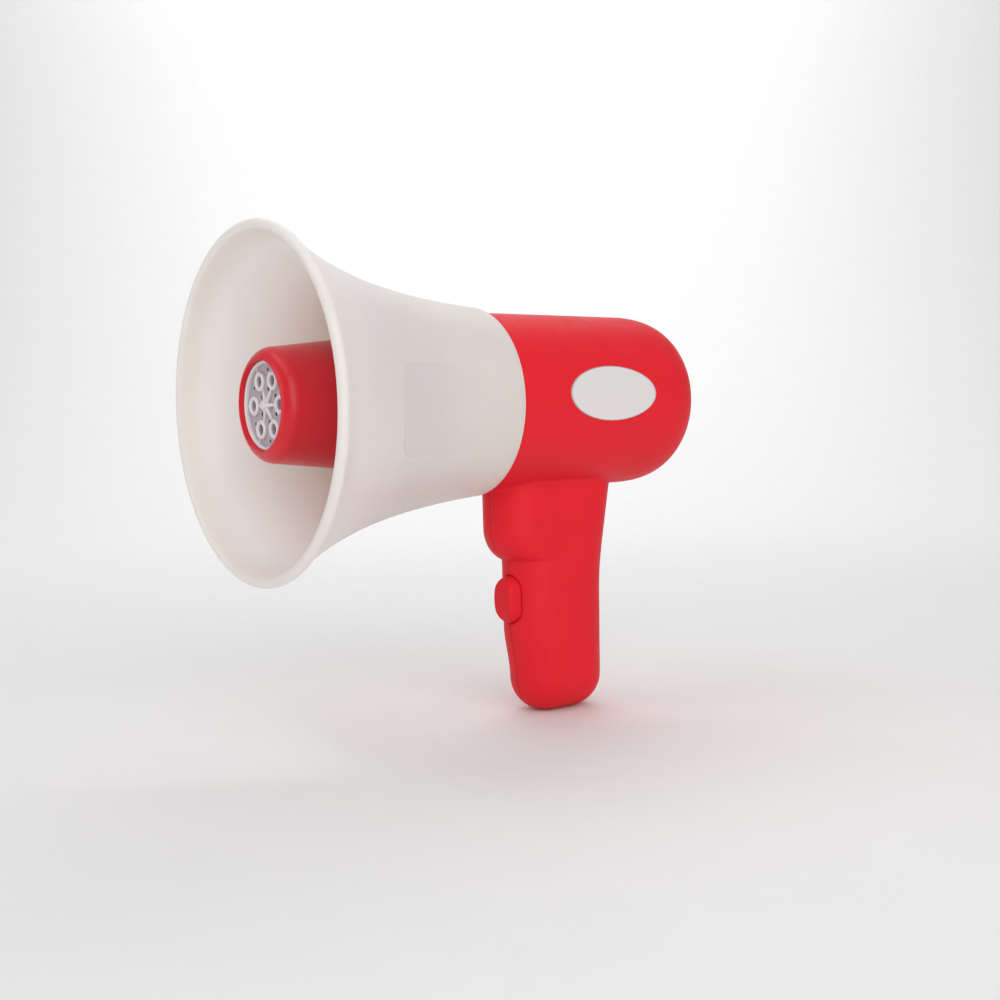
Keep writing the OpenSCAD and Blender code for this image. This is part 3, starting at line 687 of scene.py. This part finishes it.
def panel_depth(s, z):
    """Depth of the shallow side panel, deepest at its front and running out to the rear."""
    out_z = np.abs(z - PANEL_Z) - (PANEL_H / 2 - PANEL_CORNER)
    out_s = PANEL_S + PANEL_CORNER - s
    share = np.clip(0.5 - rounded(out_z, out_s, PANEL_CORNER) / PANEL_EDGE, 0, 1)
    fade = np.clip(1 - (s - PANEL_S) / PANEL_LEN, 0, 1)
    return PANEL_DEPTH * ease(share) * fade


def horn_angles(radii):
    """Angles round the horn that follow the panel's upper and lower edges on both sides."""
    low = PANEL_Z - PANEL_H / 2 + EDGE_LINES
    high = PANEL_Z + PANEL_H / 2 - EDGE_LINES[::-1]
    fixed = np.concatenate([low, np.linspace(low[-1], high[0], PANEL_STEPS)[1:-1], high])
    near = np.arcsin(np.clip(fixed[None, :] / radii[:, None], -1, 1))
    above = np.linspace(0, 1, TOP_STEPS)[1:-1]
    below = np.linspace(0, 1, UNDER_STEPS)[1:-1]
    over = near[:, -1:] + above * (np.pi - 2 * near[:, -1:])
    far = np.pi - near[:, ::-1]
    under = far[:, -1:] + below * ((2 * np.pi + near[:, :1]) - far[:, -1:])
    return np.concatenate([near, over, far, under], axis=1)


def horn_profile():
    """The horn's outline in [radius, station], and how many of its points are on the outside."""
    outer_s = np.array([HORN_LEN - REAR_EDGE_R])
    for stop, count in OUTER_STRETCHES:
        outer_s = np.concatenate([outer_s, np.linspace(outer_s[-1], stop, count)[1:]])
    outer = np.stack([flare(outer_s), outer_s], axis=1)
    lip = np.array([MOUTH_R - LIP_R, LIP_S])
    flat = math.degrees(math.asin(LIP_S / LIP_R))
    front = arc(lip, LIP_R, start=LIP_FRONT_TURN, stop=-flat, count=15)
    back = arc(lip, LIP_R, start=flat - 180, stop=LIP_BACK_TURN, count=8)
    inner_s = np.linspace(LIP_INNER_S, SEAT_S, 42)
    inner = np.stack([flare(inner_s) - WALL, inner_s], axis=1)
    hollow = bridge(outer[-2], outer[-1], front[0], front[1], count=11)
    fillet = bridge(back[-2], back[-1], inner[0], inner[1], count=13)
    bevel_r = SEAT_R + SEAT_BEVEL
    groove_r = SEAT_R + GROOVE_DEPTH
    seat = np.array([[bevel_r, SEAT_S], [SEAT_R, SEAT_S + SEAT_BEVEL],
                     [SEAT_R, GROOVE_FRONT], [groove_r, GROOVE_FRONT],
                     [groove_r, GROOVE_REAR], [SEAT_R, GROOVE_REAR],
                     [SEAT_R, HORN_LEN - SEAT_BEVEL], [bevel_r, HORN_LEN]])
    corner = (THROAT_R - REAR_EDGE_R, HORN_LEN - REAR_EDGE_R)
    rear = arc(corner, REAR_EDGE_R, start=90, stop=9, count=7)
    return np.concatenate([outer, hollow, front, back, fillet, inner, seat, rear]), len(outer)


profile, outer_count = horn_profile()
angles = horn_angles(np.maximum(profile[:, 0], LEAST_GRID_R))
radii = np.repeat(profile[:, :1], angles.shape[1], axis=1)
heights = radii[:outer_count] * np.sin(angles[:outer_count])
radii[:outer_count] -= panel_depth(profile[:outer_count, 1:2], heights)
points, faces = turned(radii, profile[:, 1], angles)
horn_skin = add_piece("horn_skin", points, faces, "body", ["horn"], HORN_PLASTIC)
horn_skin.data.set_sharp_from_angle(angle=SHARP_ANGLE)


# Nozzle: a cone with a full round lip, a bore for the wand and a flange at its root
def nozzle_r(s):
    """Outer radius of the nozzle's cone."""
    return NOZZLE_R + NOZZLE_TAPER * (s - NOZZLE_S - NOZZLE_LIP_R)


def nozzle_profile():
    """The nozzle's outline in [radius, station]."""
    cone_s = NOZZLE_S + NOZZLE_LIP_R
    end_s = FLANGE_S + FLANGE_T
    ledge_r = WAND_R - LEDGE_W
    ledge_s = WAND_S + WAND_DEPTH
    bore_r = WAND_R + BORE_GAP
    wide_s = cone_s + BORE_WIDE_LEN
    root_r = nozzle_r(FLANGE_S)
    stations = np.linspace(FLANGE_S - ROOT_FILLET, cone_s + CONE_START, 30)
    cone = np.array([[nozzle_r(s), s] for s in stations])
    lip = arc((NOZZLE_R - NOZZLE_LIP_R, cone_s), NOZZLE_LIP_R, start=0, stop=NOZZLE_LIP_TURN, count=34)
    edge = np.array([[bore_r + out, lip[-1, 1] + back] for out, back in BORE_EDGE])
    bore = np.array([[bore_r, ledge_s], [ledge_r, ledge_s], [ledge_r, cone_s + BORE_NARROW_LEN],
                     [nozzle_r(wide_s) - NOZZLE_WALL, wide_s]])
    root = np.array([[nozzle_r(end_s) - NOZZLE_WALL, end_s], [FLANGE_R, end_s], [FLANGE_R, FLANGE_S],
                     [root_r + ROOT_FILLET, FLANGE_S],
                     [root_r + ROOT_FILLET_MIDDLE, FLANGE_S - ROOT_FILLET_MIDDLE]])
    return np.concatenate([cone, lip, edge, bore, root])


profile = nozzle_profile()
turn = np.linspace(0, 2 * np.pi, NOZZLE_STEPS + 1)[None, :-1]
angles = np.repeat(turn, len(profile), axis=0)
points, faces = turned(np.repeat(profile[:, :1], NOZZLE_STEPS, axis=1), profile[:, 1], angles)
nozzle_skin = add_piece("nozzle_skin", points, faces, "body", ["nozzle"], NOZZLE_SHADED_RED)
nozzle_skin.data.set_sharp_from_angle(angle=SHARP_ANGLE)


# Wand: a shallow cup with raised rings, spokes and a hub
def wand_distance(x, s, z):
    radius = np.hypot(x, z)
    depth = s - WAND_S
    past_back = depth - WAND_DEPTH
    past_floor = radius - WAND_R + WAND_FLOOR_INSET
    half_floor = WAND_FLOOR / 2
    floor = np.maximum(past_floor, np.abs(past_back + half_floor) - half_floor)
    rim_x = np.abs(radius - WAND_R + WAND_RIM_INSET) - WAND_RIM_FLAT
    rim_y = np.abs(depth - WAND_DEPTH / 2) - WAND_DEPTH / 2 + WAND_RIM_ROUND
    rim = rounded(rim_x, rim_y, WAND_RIM_ROUND)
    turn = 2 * np.pi / RING_COUNT
    angle = np.arctan2(z, x)
    angle = angle - turn * np.round(angle / turn)
    along = radius * np.cos(angle)
    across = radius * np.sin(angle)
    ring = np.hypot(along - RING_AT, across)
    round_r = RING_WALL / 2
    tube_top = np.maximum(WAND_SINK + round_r - depth, 0)
    tube = np.maximum(np.hypot(ring - RING_R + round_r, tube_top) - round_r, past_back)
    hub_side = np.maximum(radius - HUB_R + HUB_ROUND, 0)
    hub_top = np.maximum(WAND_SINK - HUB_RISE + HUB_ROUND - depth, 0)
    hub = np.maximum(np.hypot(hub_side, hub_top) - HUB_ROUND, past_back)
    spoke_r = SPOKE_T / 2
    climb = np.clip(1 - along / (RING_AT - RING_R), 0, 1)
    ridge = WAND_SINK + spoke_r - HUB_RISE * climb
    spoke = np.hypot(across, np.maximum(ridge + spoke_r - depth, 0)) - spoke_r
    spoke = np.maximum(np.maximum(spoke, past_back), past_floor)
    body = smooth_min(smooth_min(floor, tube, WAND_FLOOR_FILLET), smooth_min(hub, spoke, HUB_FILLET),
                      WAND_FLOOR_FILLET)
    body = np.maximum(body, RING_R - RING_WALL - ring)
    for place, vent_r in VENTS:
        vent_x = along - place * np.cos(turn / 2)
        vent_y = np.abs(across) - place * np.sin(turn / 2)
        body = smooth_max(body, vent_r - np.hypot(vent_x, vent_y), VENT_EDGE)
    return smooth_min(body, rim, WAND_RIM_FILLET)


WAND_SIDE = even_lines(-18.9, 18.9, 0.27)
WAND_LINES = [WAND_SIDE, even_lines(5.1, 10.2, 0.26), WAND_SIDE]
add_contoured("wand_skin", wand_distance, WAND_LINES, "body", ["bubble_wand"],
              WAND_PLASTIC)


# Body: barrel, domed end and handle, as two halves
def barrel(x, s, z, inset):
    """Distance to the barrel and its domed end, drawn in by an inset."""
    radius = np.hypot(x, z) / (BARREL_R - inset)
    reach = np.maximum((s - DOME_S) / (DOME_LEN - inset), 0)
    total = (radius ** DOME_POWER + reach ** DOME_POWER + TINY) ** (1 / DOME_POWER)
    across = (radius / total) ** (DOME_POWER - 1) / (BARREL_R - inset)
    along = (reach / total) ** (DOME_POWER - 1) / (DOME_LEN - inset)
    return (total - 1) / np.maximum(np.hypot(across, along), LEAST_SLOPE)


def handle(x, s, z, inset):
    """Distance to the handle, a row of rods along s with round ends, drawn in by an inset."""
    r = HANDLE_R - inset
    turn = np.clip((KNEE_Z - z) / r, 0, 1)
    knee = np.minimum(NECK_FRONT + r * (1 - np.sqrt(1 - turn * turn)), GRIP_FRONT)
    taper = np.clip((TAPER_Z - z) / (TAPER_Z - END_Z), 0, 1)
    front = knee + (END_FRONT - GRIP_FRONT) * ease(taper)
    upper = (z - REAR_KNEE_Z) / (UNDER_Z - REAR_KNEE_Z)
    bend = 0.5 * (upper + np.sqrt(upper * upper + REAR_KNEE_SOFTNESS))
    lower = np.clip((REAR_KNEE_Z - z) / (REAR_KNEE_Z - END_Z), 0, 1)
    rear = GRIP_REAR + (NECK_REAR - GRIP_REAR) * bend + (END_REAR - GRIP_REAR) * lower
    beside = s - np.clip(s, front, rear)
    below = np.minimum(z - END_Z, 0)
    return np.sqrt(x * x + beside * beside + below * below) - r


def rod_x(s, z, place, radius):
    """Distance to a rod along x."""
    return np.hypot(s - place[0], z - place[1]) - radius


def body_wall(x, s, z):
    """The body's wall with the two ribs at its front, and its outside alone."""
    past_top = z - HANDLE_TOP_Z
    outside = smooth_min(barrel(x, s, z, 0), np.maximum(handle(x, s, z, 0), past_top), NECK_FILLET)
    outside = np.maximum(outside, np.maximum(BARREL_FRONT - s, FOOT_Z - z))
    inside = np.minimum(barrel(x, s, z, WALL), np.maximum(handle(x, s, z, WALL), past_top))
    wall = np.maximum(outside, -inside)
    for middle in RIBS_S:
        rib = np.maximum(np.abs(s - middle) - RIB_HALF_T, RIB_R - np.hypot(x, z))
        wall = np.minimum(wall, np.maximum(rib, outside + RIB_SINK))
    return wall, outside


def front_slot(x, z, gap):
    """The trigger's outline seen from the front."""
    level = np.maximum(np.abs(z - TRIGGER_Z) - TRIGGER_HALF_H + TRIGGER_HALF_W, 0)
    return np.hypot(x, level) - TRIGGER_HALF_W - gap


def rear_slots(x, s, z):
    """The air slots on both sides of the rear end."""
    result = np.full_like(x, FAR)
    for i in range(AIR_SLOTS):
        level = np.maximum(np.abs(z) - (AIR_SLOT_HALF_H - AIR_SLOT_STEP_H * i), 0)
        slot = np.hypot(np.abs(x) - AIR_SLOT_X - AIR_SLOT_PITCH * i, level) - AIR_SLOT_R
        result = np.minimum(result, slot)
    return np.maximum(result, DOME_S + AIR_SLOT_S - s)


def door_outline(s, z, gap):
    """The door's outline seen from the side, drawn in by a gap."""
    middle = ((DOOR_LOW[0] + DOOR_HIGH[0]) / 2, (DOOR_LOW[1] + DOOR_HIGH[1]) / 2)
    half = ((DOOR_HIGH[0] - DOOR_LOW[0]) / 2, (DOOR_HIGH[1] - DOOR_LOW[1]) / 2)
    out_s = np.abs(s - middle[0]) - half[0] + DOOR_CORNER
    out_z = np.abs(z - middle[1]) - half[1] + DOOR_CORNER
    return rounded(out_s, out_z, DOOR_CORNER) + gap


def shell(x, s, z, side):
    """One half of the body, on the side of positive or negative x."""
    wall, outside = body_wall(x, s, z)
    for place in SHELL_SCREWS:
        post = np.maximum(rod_x(s, z, place, POST_R), outside + POST_SINK)
        wall = smooth_min(wall, post, POST_FILLET)
    slide = np.maximum(front_slot(x, z, SLIDE_GAP), s - GRIP_FRONT + SLIDE_REACH)
    wall = smooth_max(wall, -slide, SLOT_EDGE)
    wall = smooth_max(wall, -rear_slots(x, s, z), SLOT_EDGE)
    for place in SHELL_SCREWS:
        if side > 0:
            wall = np.maximum(wall, -np.maximum(rod_x(s, z, place, PILOT_R), x - PILOT_X))
        else:
            wall = np.maximum(wall, -rod_x(s, z, place, HOLE_R))
            well = np.maximum(rod_x(s, z, place, WELL_R), x - SEAT_X)
            wall = smooth_max(wall, -well, WELL_EDGE)
    if side < 0:
        way = np.maximum(door_outline(s, z, 0), x - DOOR_LIFT_X)
        wall = smooth_max(wall, -way, DOOR_WAY_EDGE)
    return smooth_max(wall, SPLIT - side * x, SPLIT_EDGE)


def left_shell(x, s, z):
    return shell(x, s, z, 1)


def right_shell(x, s, z):
    return shell(x, s, z, -1)


SIDE_LINES = np.concatenate([[-0.5, -0.15], np.arange(0.2, 1.5, 0.26), even_lines(1.7, 42.0, 1.05)])
SHELL_LINES = [even_lines(99.0, 228.5, 1.04), even_lines(-149.5, 42.0, 1.04)]
add_contoured("shell_left_skin", left_shell, [SIDE_LINES, *SHELL_LINES], "body",
              ["shell_left"], RED_PLASTIC)
add_contoured("shell_right_skin", right_shell, [-SIDE_LINES[::-1], *SHELL_LINES], "body",
              ["shell_right"], RED_PLASTIC)


# Battery door with its screw boss
def door_distance(x, s, z):
    outside = handle(x, s, z, 0)
    plate = np.maximum(outside, -handle(x, s, z, WALL))
    edge = np.maximum(door_outline(s, z, DOOR_GAP), x - DOOR_LIFT_X)
    plate = smooth_max(plate, edge, DOOR_EDGE)
    boss = np.maximum(rod_x(s, z, DOOR_SCREW, BOSS_R), outside + BOSS_SINK)
    plate = np.minimum(plate, np.maximum(boss, x + BOSS_X))
    plate = np.maximum(plate, -rod_x(s, z, DOOR_SCREW, HOLE_R))
    well = np.maximum(rod_x(s, z, DOOR_SCREW, WELL_R), x - DOOR_SEAT_X)
    return smooth_max(plate, -well, WELL_EDGE)


DOOR_CELL = 0.62
DOOR_LINES = [even_lines(-17.2, -1.2, DOOR_CELL), even_lines(142.0, 174.4, DOOR_CELL),
              even_lines(-131.4, -60.4, DOOR_CELL)]
add_contoured("battery_door_skin", door_distance, DOOR_LINES, "battery_door",
              ["battery_door"], RED_PLASTIC)


# Trigger: a rounded button with a flange behind the wall, a pin for its spring and a pad
def trigger_distance(x, s, z):
    level = z - TRIGGER_Z
    face = np.hypot(s - TRIGGER_FRONT - TRIGGER_ROUND_R, level) - TRIGGER_ROUND_R
    button = smooth_max(front_slot(x, z, 0), face, TRIGGER_EDGE)
    button = np.maximum(button, s - TRIGGER_BACK)
    out = np.hypot(x, s - GRIP_FRONT)
    flange = np.maximum(out - TRIGGER_FLANGE_R, TRIGGER_FLANGE_INNER_R - out)
    flange = np.maximum(flange, np.abs(x) - TRIGGER_FLANGE_HALF_W)
    flange = np.maximum(flange, np.abs(level) - TRIGGER_FLANGE_HALF_H)
    flange = np.maximum(flange, s - GRIP_FRONT)
    pin = np.maximum(np.hypot(x, level) - TRIGGER_PIN_R, np.abs(s - TRIGGER_BACK) - TRIGGER_PIN_R)
    pad = np.maximum(np.abs(x), np.abs(level + TRIGGER_PAD_DROP)) - TRIGGER_PAD_HALF_W
    pad = np.maximum(pad, np.abs(s - TRIGGER_PAD_S) - TRIGGER_PAD_HALF_T)
    return np.minimum(np.minimum(button, flange), np.minimum(pin, pad))


TRIGGER_CELL = 0.45
TRIGGER_LINES = [even_lines(-9.4, 9.4, TRIGGER_CELL), even_lines(124.3, 141.0, TRIGGER_CELL),
                 even_lines(-106.6, -79.0, TRIGGER_CELL)]
add_contoured("trigger_skin", trigger_distance, TRIGGER_LINES, "trigger", ["trigger"],
              RED_PLASTIC)


# Screws: a pan head with a cross, and a threaded shank
def screw_distance(x, y, z, length):
    radius = np.hypot(y, z)
    head = np.maximum(smooth_max(radius - HEAD_R, -HEAD_T - x, HEAD_EDGE), x)
    narrow = CROSS_DRAFT * (x + HEAD_T)
    first = np.maximum(np.abs(y) - CROSS_LEN, np.abs(z) - CROSS_T)
    second = np.maximum(np.abs(z) - CROSS_LEN, np.abs(y) - CROSS_T)
    cross = np.maximum(np.minimum(first, second) + narrow, x + HEAD_T - CROSS_DEPTH)
    wave = np.cos(np.arctan2(z, y) - 2 * np.pi * x / THREAD_PITCH)
    thread = SCREW_R - THREAD_DEPTH + THREAD_DEPTH * wave
    point = POINT_R + POINT_SLOPE * (length - x)
    shank = np.maximum(radius - np.minimum(thread, point), x - length)
    shank = np.maximum(shank, -x - SHANK_ROOT)
    return np.minimum(smooth_max(head, -cross, CROSS_EDGE), shank)


def add_screws(name, places, seat_x, length, body, node):
    """One piece for all screws of a length that have their seats at the same x."""
    def distance(x, y, z):
        return screw_distance(x, y, z, length)

    head_lines = even_lines(-HEAD_T - 0.3, 0.3, 0.2)
    shank_lines = even_lines(0.6, length + 0.4, 0.3)
    side_lines = even_lines(-HEAD_R - 0.3, HEAD_R + 0.3, 0.24)
    lines = [np.concatenate([head_lines, shank_lines]), side_lines, side_lines]
    points, faces = contour(distance, lines)
    normals = corner_normals(distance, points, faces)
    all_points = np.concatenate([points + np.array([seat_x, s, z]) for s, z in places])
    all_faces = np.concatenate([faces + k * len(points) for k in range(len(places))])
    add_piece(name, all_points, all_faces, body, [node], SCREW_STEEL,
              np.tile(normals, (len(places), 1)))


add_screws("shell_screws_skin", SHELL_SCREWS, SEAT_X, SHELL_SCREW_LEN, "body", "shell_screws")
add_screws("door_screw_skin", [DOOR_SCREW], DOOR_SEAT_X, DOOR_SCREW_LEN, "battery_door", "door_screw")


# Springs: wires wound along Z, closed at both ends
def coil(r_low, r_high, wire, turns, height):
    share = np.linspace(0, 1, int(turns * COIL_STEPS) + 1)[:, None]
    turn = 2 * np.pi * turns * share
    around = 2 * np.pi * np.arange(COIL_SIDES)[None, :] / COIL_SIDES
    radius = r_low + (r_high - r_low) * share + wire * np.cos(around)
    level = wire + (height - 2 * wire) * share + wire * np.sin(around)
    points = np.stack([radius * np.cos(turn), radius * np.sin(turn), level], axis=-1)
    walls = tube_quads(len(share), COIL_SIDES)[:, [0, 3, 2, 1]]
    end = np.array([[0, 1, 2, 3], [0, 3, 4, 7], [4, 5, 6, 7]])
    other_end = end[:, ::-1] + (len(share) - 1) * COIL_SIDES
    return points.reshape(-1, 3), np.concatenate([walls, end, other_end])


points, faces = coil(SPRING_R, SPRING_R, SPRING_WIRE, SPRING_TURNS, SPRING_LEN)
points = points[:, [0, 2, 1]] * np.array([1, 1, -1]) + np.array([0, SPRING_S, TRIGGER_Z])
trigger_spring_skin = add_piece("trigger_spring_skin", points, faces, "body",
                                ["trigger_spring"], SCREW_STEEL)
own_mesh(trigger_spring_skin)

points, faces = coil(CELL_SPRING_R, CELL_SPRING_TIP_R, CELL_SPRING_WIRE, CELL_SPRING_TURNS,
                     CELL_SPRING_H)
rear_seat = np.array([0, CELL_REAR_S, CELL_FLOOR + CELL_LEN + CELL_SPRING_H])
front_coil = points + np.array([0, CELL_FRONT_S, CELL_FLOOR])
rear_coil = points * np.array([1, -1, -1]) + rear_seat
add_piece("battery_springs_skin", np.concatenate([front_coil, rear_coil]),
          np.concatenate([faces, faces + len(points)]), "body", ["battery_springs"],
          SCREW_STEEL)


# Cells: a rolled jacket, a flat end and a button
def cell_profile():
    """The cell's outline in [radius, height], from its flat end to its button."""
    top = CELL_LEN - CELL_BUTTON_H
    flat_end = [[4.6, 0], [4.9, 0.12], [5.2, 0.42], [5.7, 0.46], [6.1, 0.3], [6.6, 0.08], [7.0, 0.15],
                [7.2, 0.4]]
    side = [[CELL_R, height] for height in (0.8, 12, 24, 36, top - 0.9)]
    rolled_edge = [[7.2, top - 0.5], [7.0, top - 0.2], [6.6, top - 0.05], [6.2, top - 0.1],
                   [5.8, top - 0.4], [5.2, top - 0.42], [3.2, top - 0.2], [2.9, top]]
    button = [[CELL_BUTTON_R, top + 0.3], [CELL_BUTTON_R - 0.03, CELL_LEN - 0.25],
              [2.6, CELL_LEN - 0.07], [2.35, CELL_LEN]]
    return np.array(flat_end + side + rolled_edge + button)


def add_cell(name, s, button_z, flat_z, node):
    """A cell that stands between two heights, either way up."""
    profile = cell_profile()
    rings = len(profile)
    turn = 2 * np.pi * np.arange(CELL_STEPS)[None, :] / CELL_STEPS
    up = 1 if button_z > flat_z else -1
    level = np.repeat(flat_z + up * profile[:, 1:], CELL_STEPS, axis=1)
    radius = profile[:, :1]
    points = np.stack([radius * np.cos(turn), s + up * radius * np.sin(turn), level], axis=-1)
    flat = list(range(CELL_STEPS))[::-1]
    button = list(range((rings - 1) * CELL_STEPS, rings * CELL_STEPS))
    faces = tube_quads(rings, CELL_STEPS).tolist() + [flat, button]
    material = cell_jacket(name, button_z + TO_PART[2], flat_z + TO_PART[2])
    cell = add_piece(name, points.reshape(-1, 3), faces, "body", [node], material)
    cell.data.set_sharp_from_angle(angle=SHARP_ANGLE)


front_flat = CELL_FLOOR + CELL_SPRING_H
add_cell("battery_cell_front_skin", CELL_FRONT_S, front_flat + CELL_LEN, front_flat,
         "battery_cell_front")
add_cell("battery_cell_rear_skin", CELL_REAR_S, CELL_FLOOR, CELL_FLOOR + CELL_LEN,
         "battery_cell_rear")


# Label: an oval film that follows the barrel
def label_mesh():
    """Two sheets on concentric ovals that share their rim, the upper one rounded down to it."""
    middle = np.linspace(-LABEL_FLAT, LABEL_FLAT, LABEL_STEPS)
    marks = np.concatenate([-LABEL_EDGE[::-1], middle, LABEL_EDGE])
    u, v = np.meshgrid(marks, marks, indexing="ij")
    wide = np.abs(u) >= np.abs(v)
    reach = np.where(wide, u, v)
    turn = np.where(wide, np.pi / 4 * v / u, np.pi / 2 - np.pi / 4 * u / v)
    s = LABEL_S + LABEL_HALF_LEN * reach * np.cos(turn)
    angle = np.arcsin((LABEL_Z + LABEL_HALF_H * reach * np.sin(turn)) / BARREL_R)
    roll = np.clip((np.abs(reach) - LABEL_EDGE[1]) / (1 - LABEL_EDGE[1]), 0, 1)
    top, under = [np.stack([r * np.cos(angle), s, r * np.sin(angle)], axis=-1).reshape(-1, 3)
                  for r in (BARREL_R + LABEL_T * np.sqrt(1 - roll ** 2), BARREL_R)]
    inside = np.abs(reach).reshape(-1) < 1
    top_ids = np.arange(len(top))
    under_ids = np.where(inside, len(top) + np.cumsum(inside) - 1, top_ids)
    faces = []
    for ids, step in ((top_ids.reshape(u.shape), 1), (under_ids.reshape(u.shape), -1)):
        quads = np.stack([ids[:-1, :-1], ids[1:, :-1], ids[1:, 1:], ids[:-1, 1:]], axis=-1)
        faces.append(quads.reshape(-1, 4)[:, ::step])
    return np.concatenate([top, under[inside]]), np.concatenate(faces)


points, faces = label_mesh()
add_piece("label_skin", points, faces, "body", ["label_left"], LABEL_FILM)

# Stage, in metres: a pale floor that curves up behind, soft light and the photograph's camera
FLOOR_Z = cad_box[0].z
FLOOR_AWAY = (-0.8004, 0.5995, 0.0)
FLOOR_REACH = (-1.6, -0.6, 0.4, 1.0)
FLOOR_HALF_W = 3.2
COVE_R = 0.9
COVE_STEPS = 15
BACK_WALL_H = 2.6
SKY_STRENGTH = 0.32
SENSOR = 36.0
FOCAL_PIXELS = 1308.0
PHOTO_PIXELS = 1000.0
CAMERA_AT = (0.48811, -0.39496, 0.09316)
CAMERA_AHEAD = (-0.79915, 0.59858, -0.05538)
CAMERA_UP = (-0.02669, 0.05671, 0.99803)


def pale_stage():
    forward = Vector(FLOOR_AWAY).normalized()
    side = Vector((forward.y, -forward.x, 0.0))
    floor_end = FLOOR_REACH[-1]
    outline = [(reach, 0.0) for reach in FLOOR_REACH]
    for turn in np.radians(np.linspace(6, 90, COVE_STEPS)):
        outline.append((floor_end + COVE_R * math.sin(turn), COVE_R - COVE_R * math.cos(turn)))
    outline.append((floor_end + COVE_R, BACK_WALL_H))
    points, quads = [], []
    for reach, height in outline:
        for across in (-FLOOR_HALF_W, FLOOR_HALF_W):
            points.append(forward * reach + side * across + Vector((0, 0, FLOOR_Z + height)))
    for k in range(len(outline) - 1):
        quads.append((2 * k, 2 * k + 1, 2 * k + 3, 2 * k + 2))
    mesh = bpy.data.meshes.new("stage")
    mesh.from_pydata(points, [], quads)
    mesh.shade_smooth()
    mesh.materials.append(moulded("stage_paper", (0.86, 0.86, 0.86), 0.75, grain=0.0, mottle=0.006))
    floor = bpy.data.objects.new("stage", mesh)
    bpy.context.scene.collection.objects.link(floor)


def area_light(name, place, target, size, power):
    data = bpy.data.lights.new(name, "AREA")
    data.shape = "RECTANGLE"
    data.size, data.size_y = size
    data.energy = power
    lamp = bpy.data.objects.new(name, data)
    lamp.location = place
    lamp.rotation_mode = "QUATERNION"
    lamp.rotation_quaternion = (Vector(target) - Vector(place)).to_track_quat("-Z", "Y")
    bpy.context.scene.collection.objects.link(lamp)


def camera():
    data = bpy.data.cameras.new("camera")
    data.sensor_width = SENSOR
    data.lens = FOCAL_PIXELS / PHOTO_PIXELS * SENSOR
    data.clip_start = 0.01
    data.clip_end = 50.0
    eye = bpy.data.objects.new("camera", data)
    forward = Vector(CAMERA_AHEAD).normalized()
    right = forward.cross(Vector(CAMERA_UP)).normalized()
    up = right.cross(forward)
    turn = Matrix((right, up, -forward)).transposed()
    eye.matrix_world = Matrix.Translation(CAMERA_AT) @ turn.to_4x4()
    bpy.context.scene.collection.objects.link(eye)
    bpy.context.scene.camera = eye


def sky():
    world = bpy.data.worlds.new("soft_sky")
    world.use_nodes = True
    back = world.node_tree.nodes["Background"]
    back.inputs["Color"].default_value = (1.0, 1.0, 1.0, 1)
    back.inputs["Strength"].default_value = SKY_STRENGTH
    bpy.context.scene.world = world


pale_stage()
sky()
area_light("key", place=(1.05, -0.4, 0.5), target=(0, -0.03, 0.1), size=(1.2, 1.2), power=9.2)
area_light("top", place=(-0.1, 0.0, 1.3), target=(0, 0, 0), size=(1.6, 1.6), power=4.0)
area_light("front", place=(-0.1, -0.72, 1.18), target=(0, -0.14, 0.1), size=(1.2, 0.22), power=1.6)
area_light("fill", place=(-0.55, -1.2, 0.3), target=(0, -0.1, 0.1), size=(0.8, 0.8), power=2.2)
area_light("backdrop", place=(-0.9, 0.65, 1.5), target=(-1.5, 1.1, 0.3), size=(1.6, 0.5), power=14.0)
camera()
bpy.context.scene.view_settings.view_transform = "Standard"
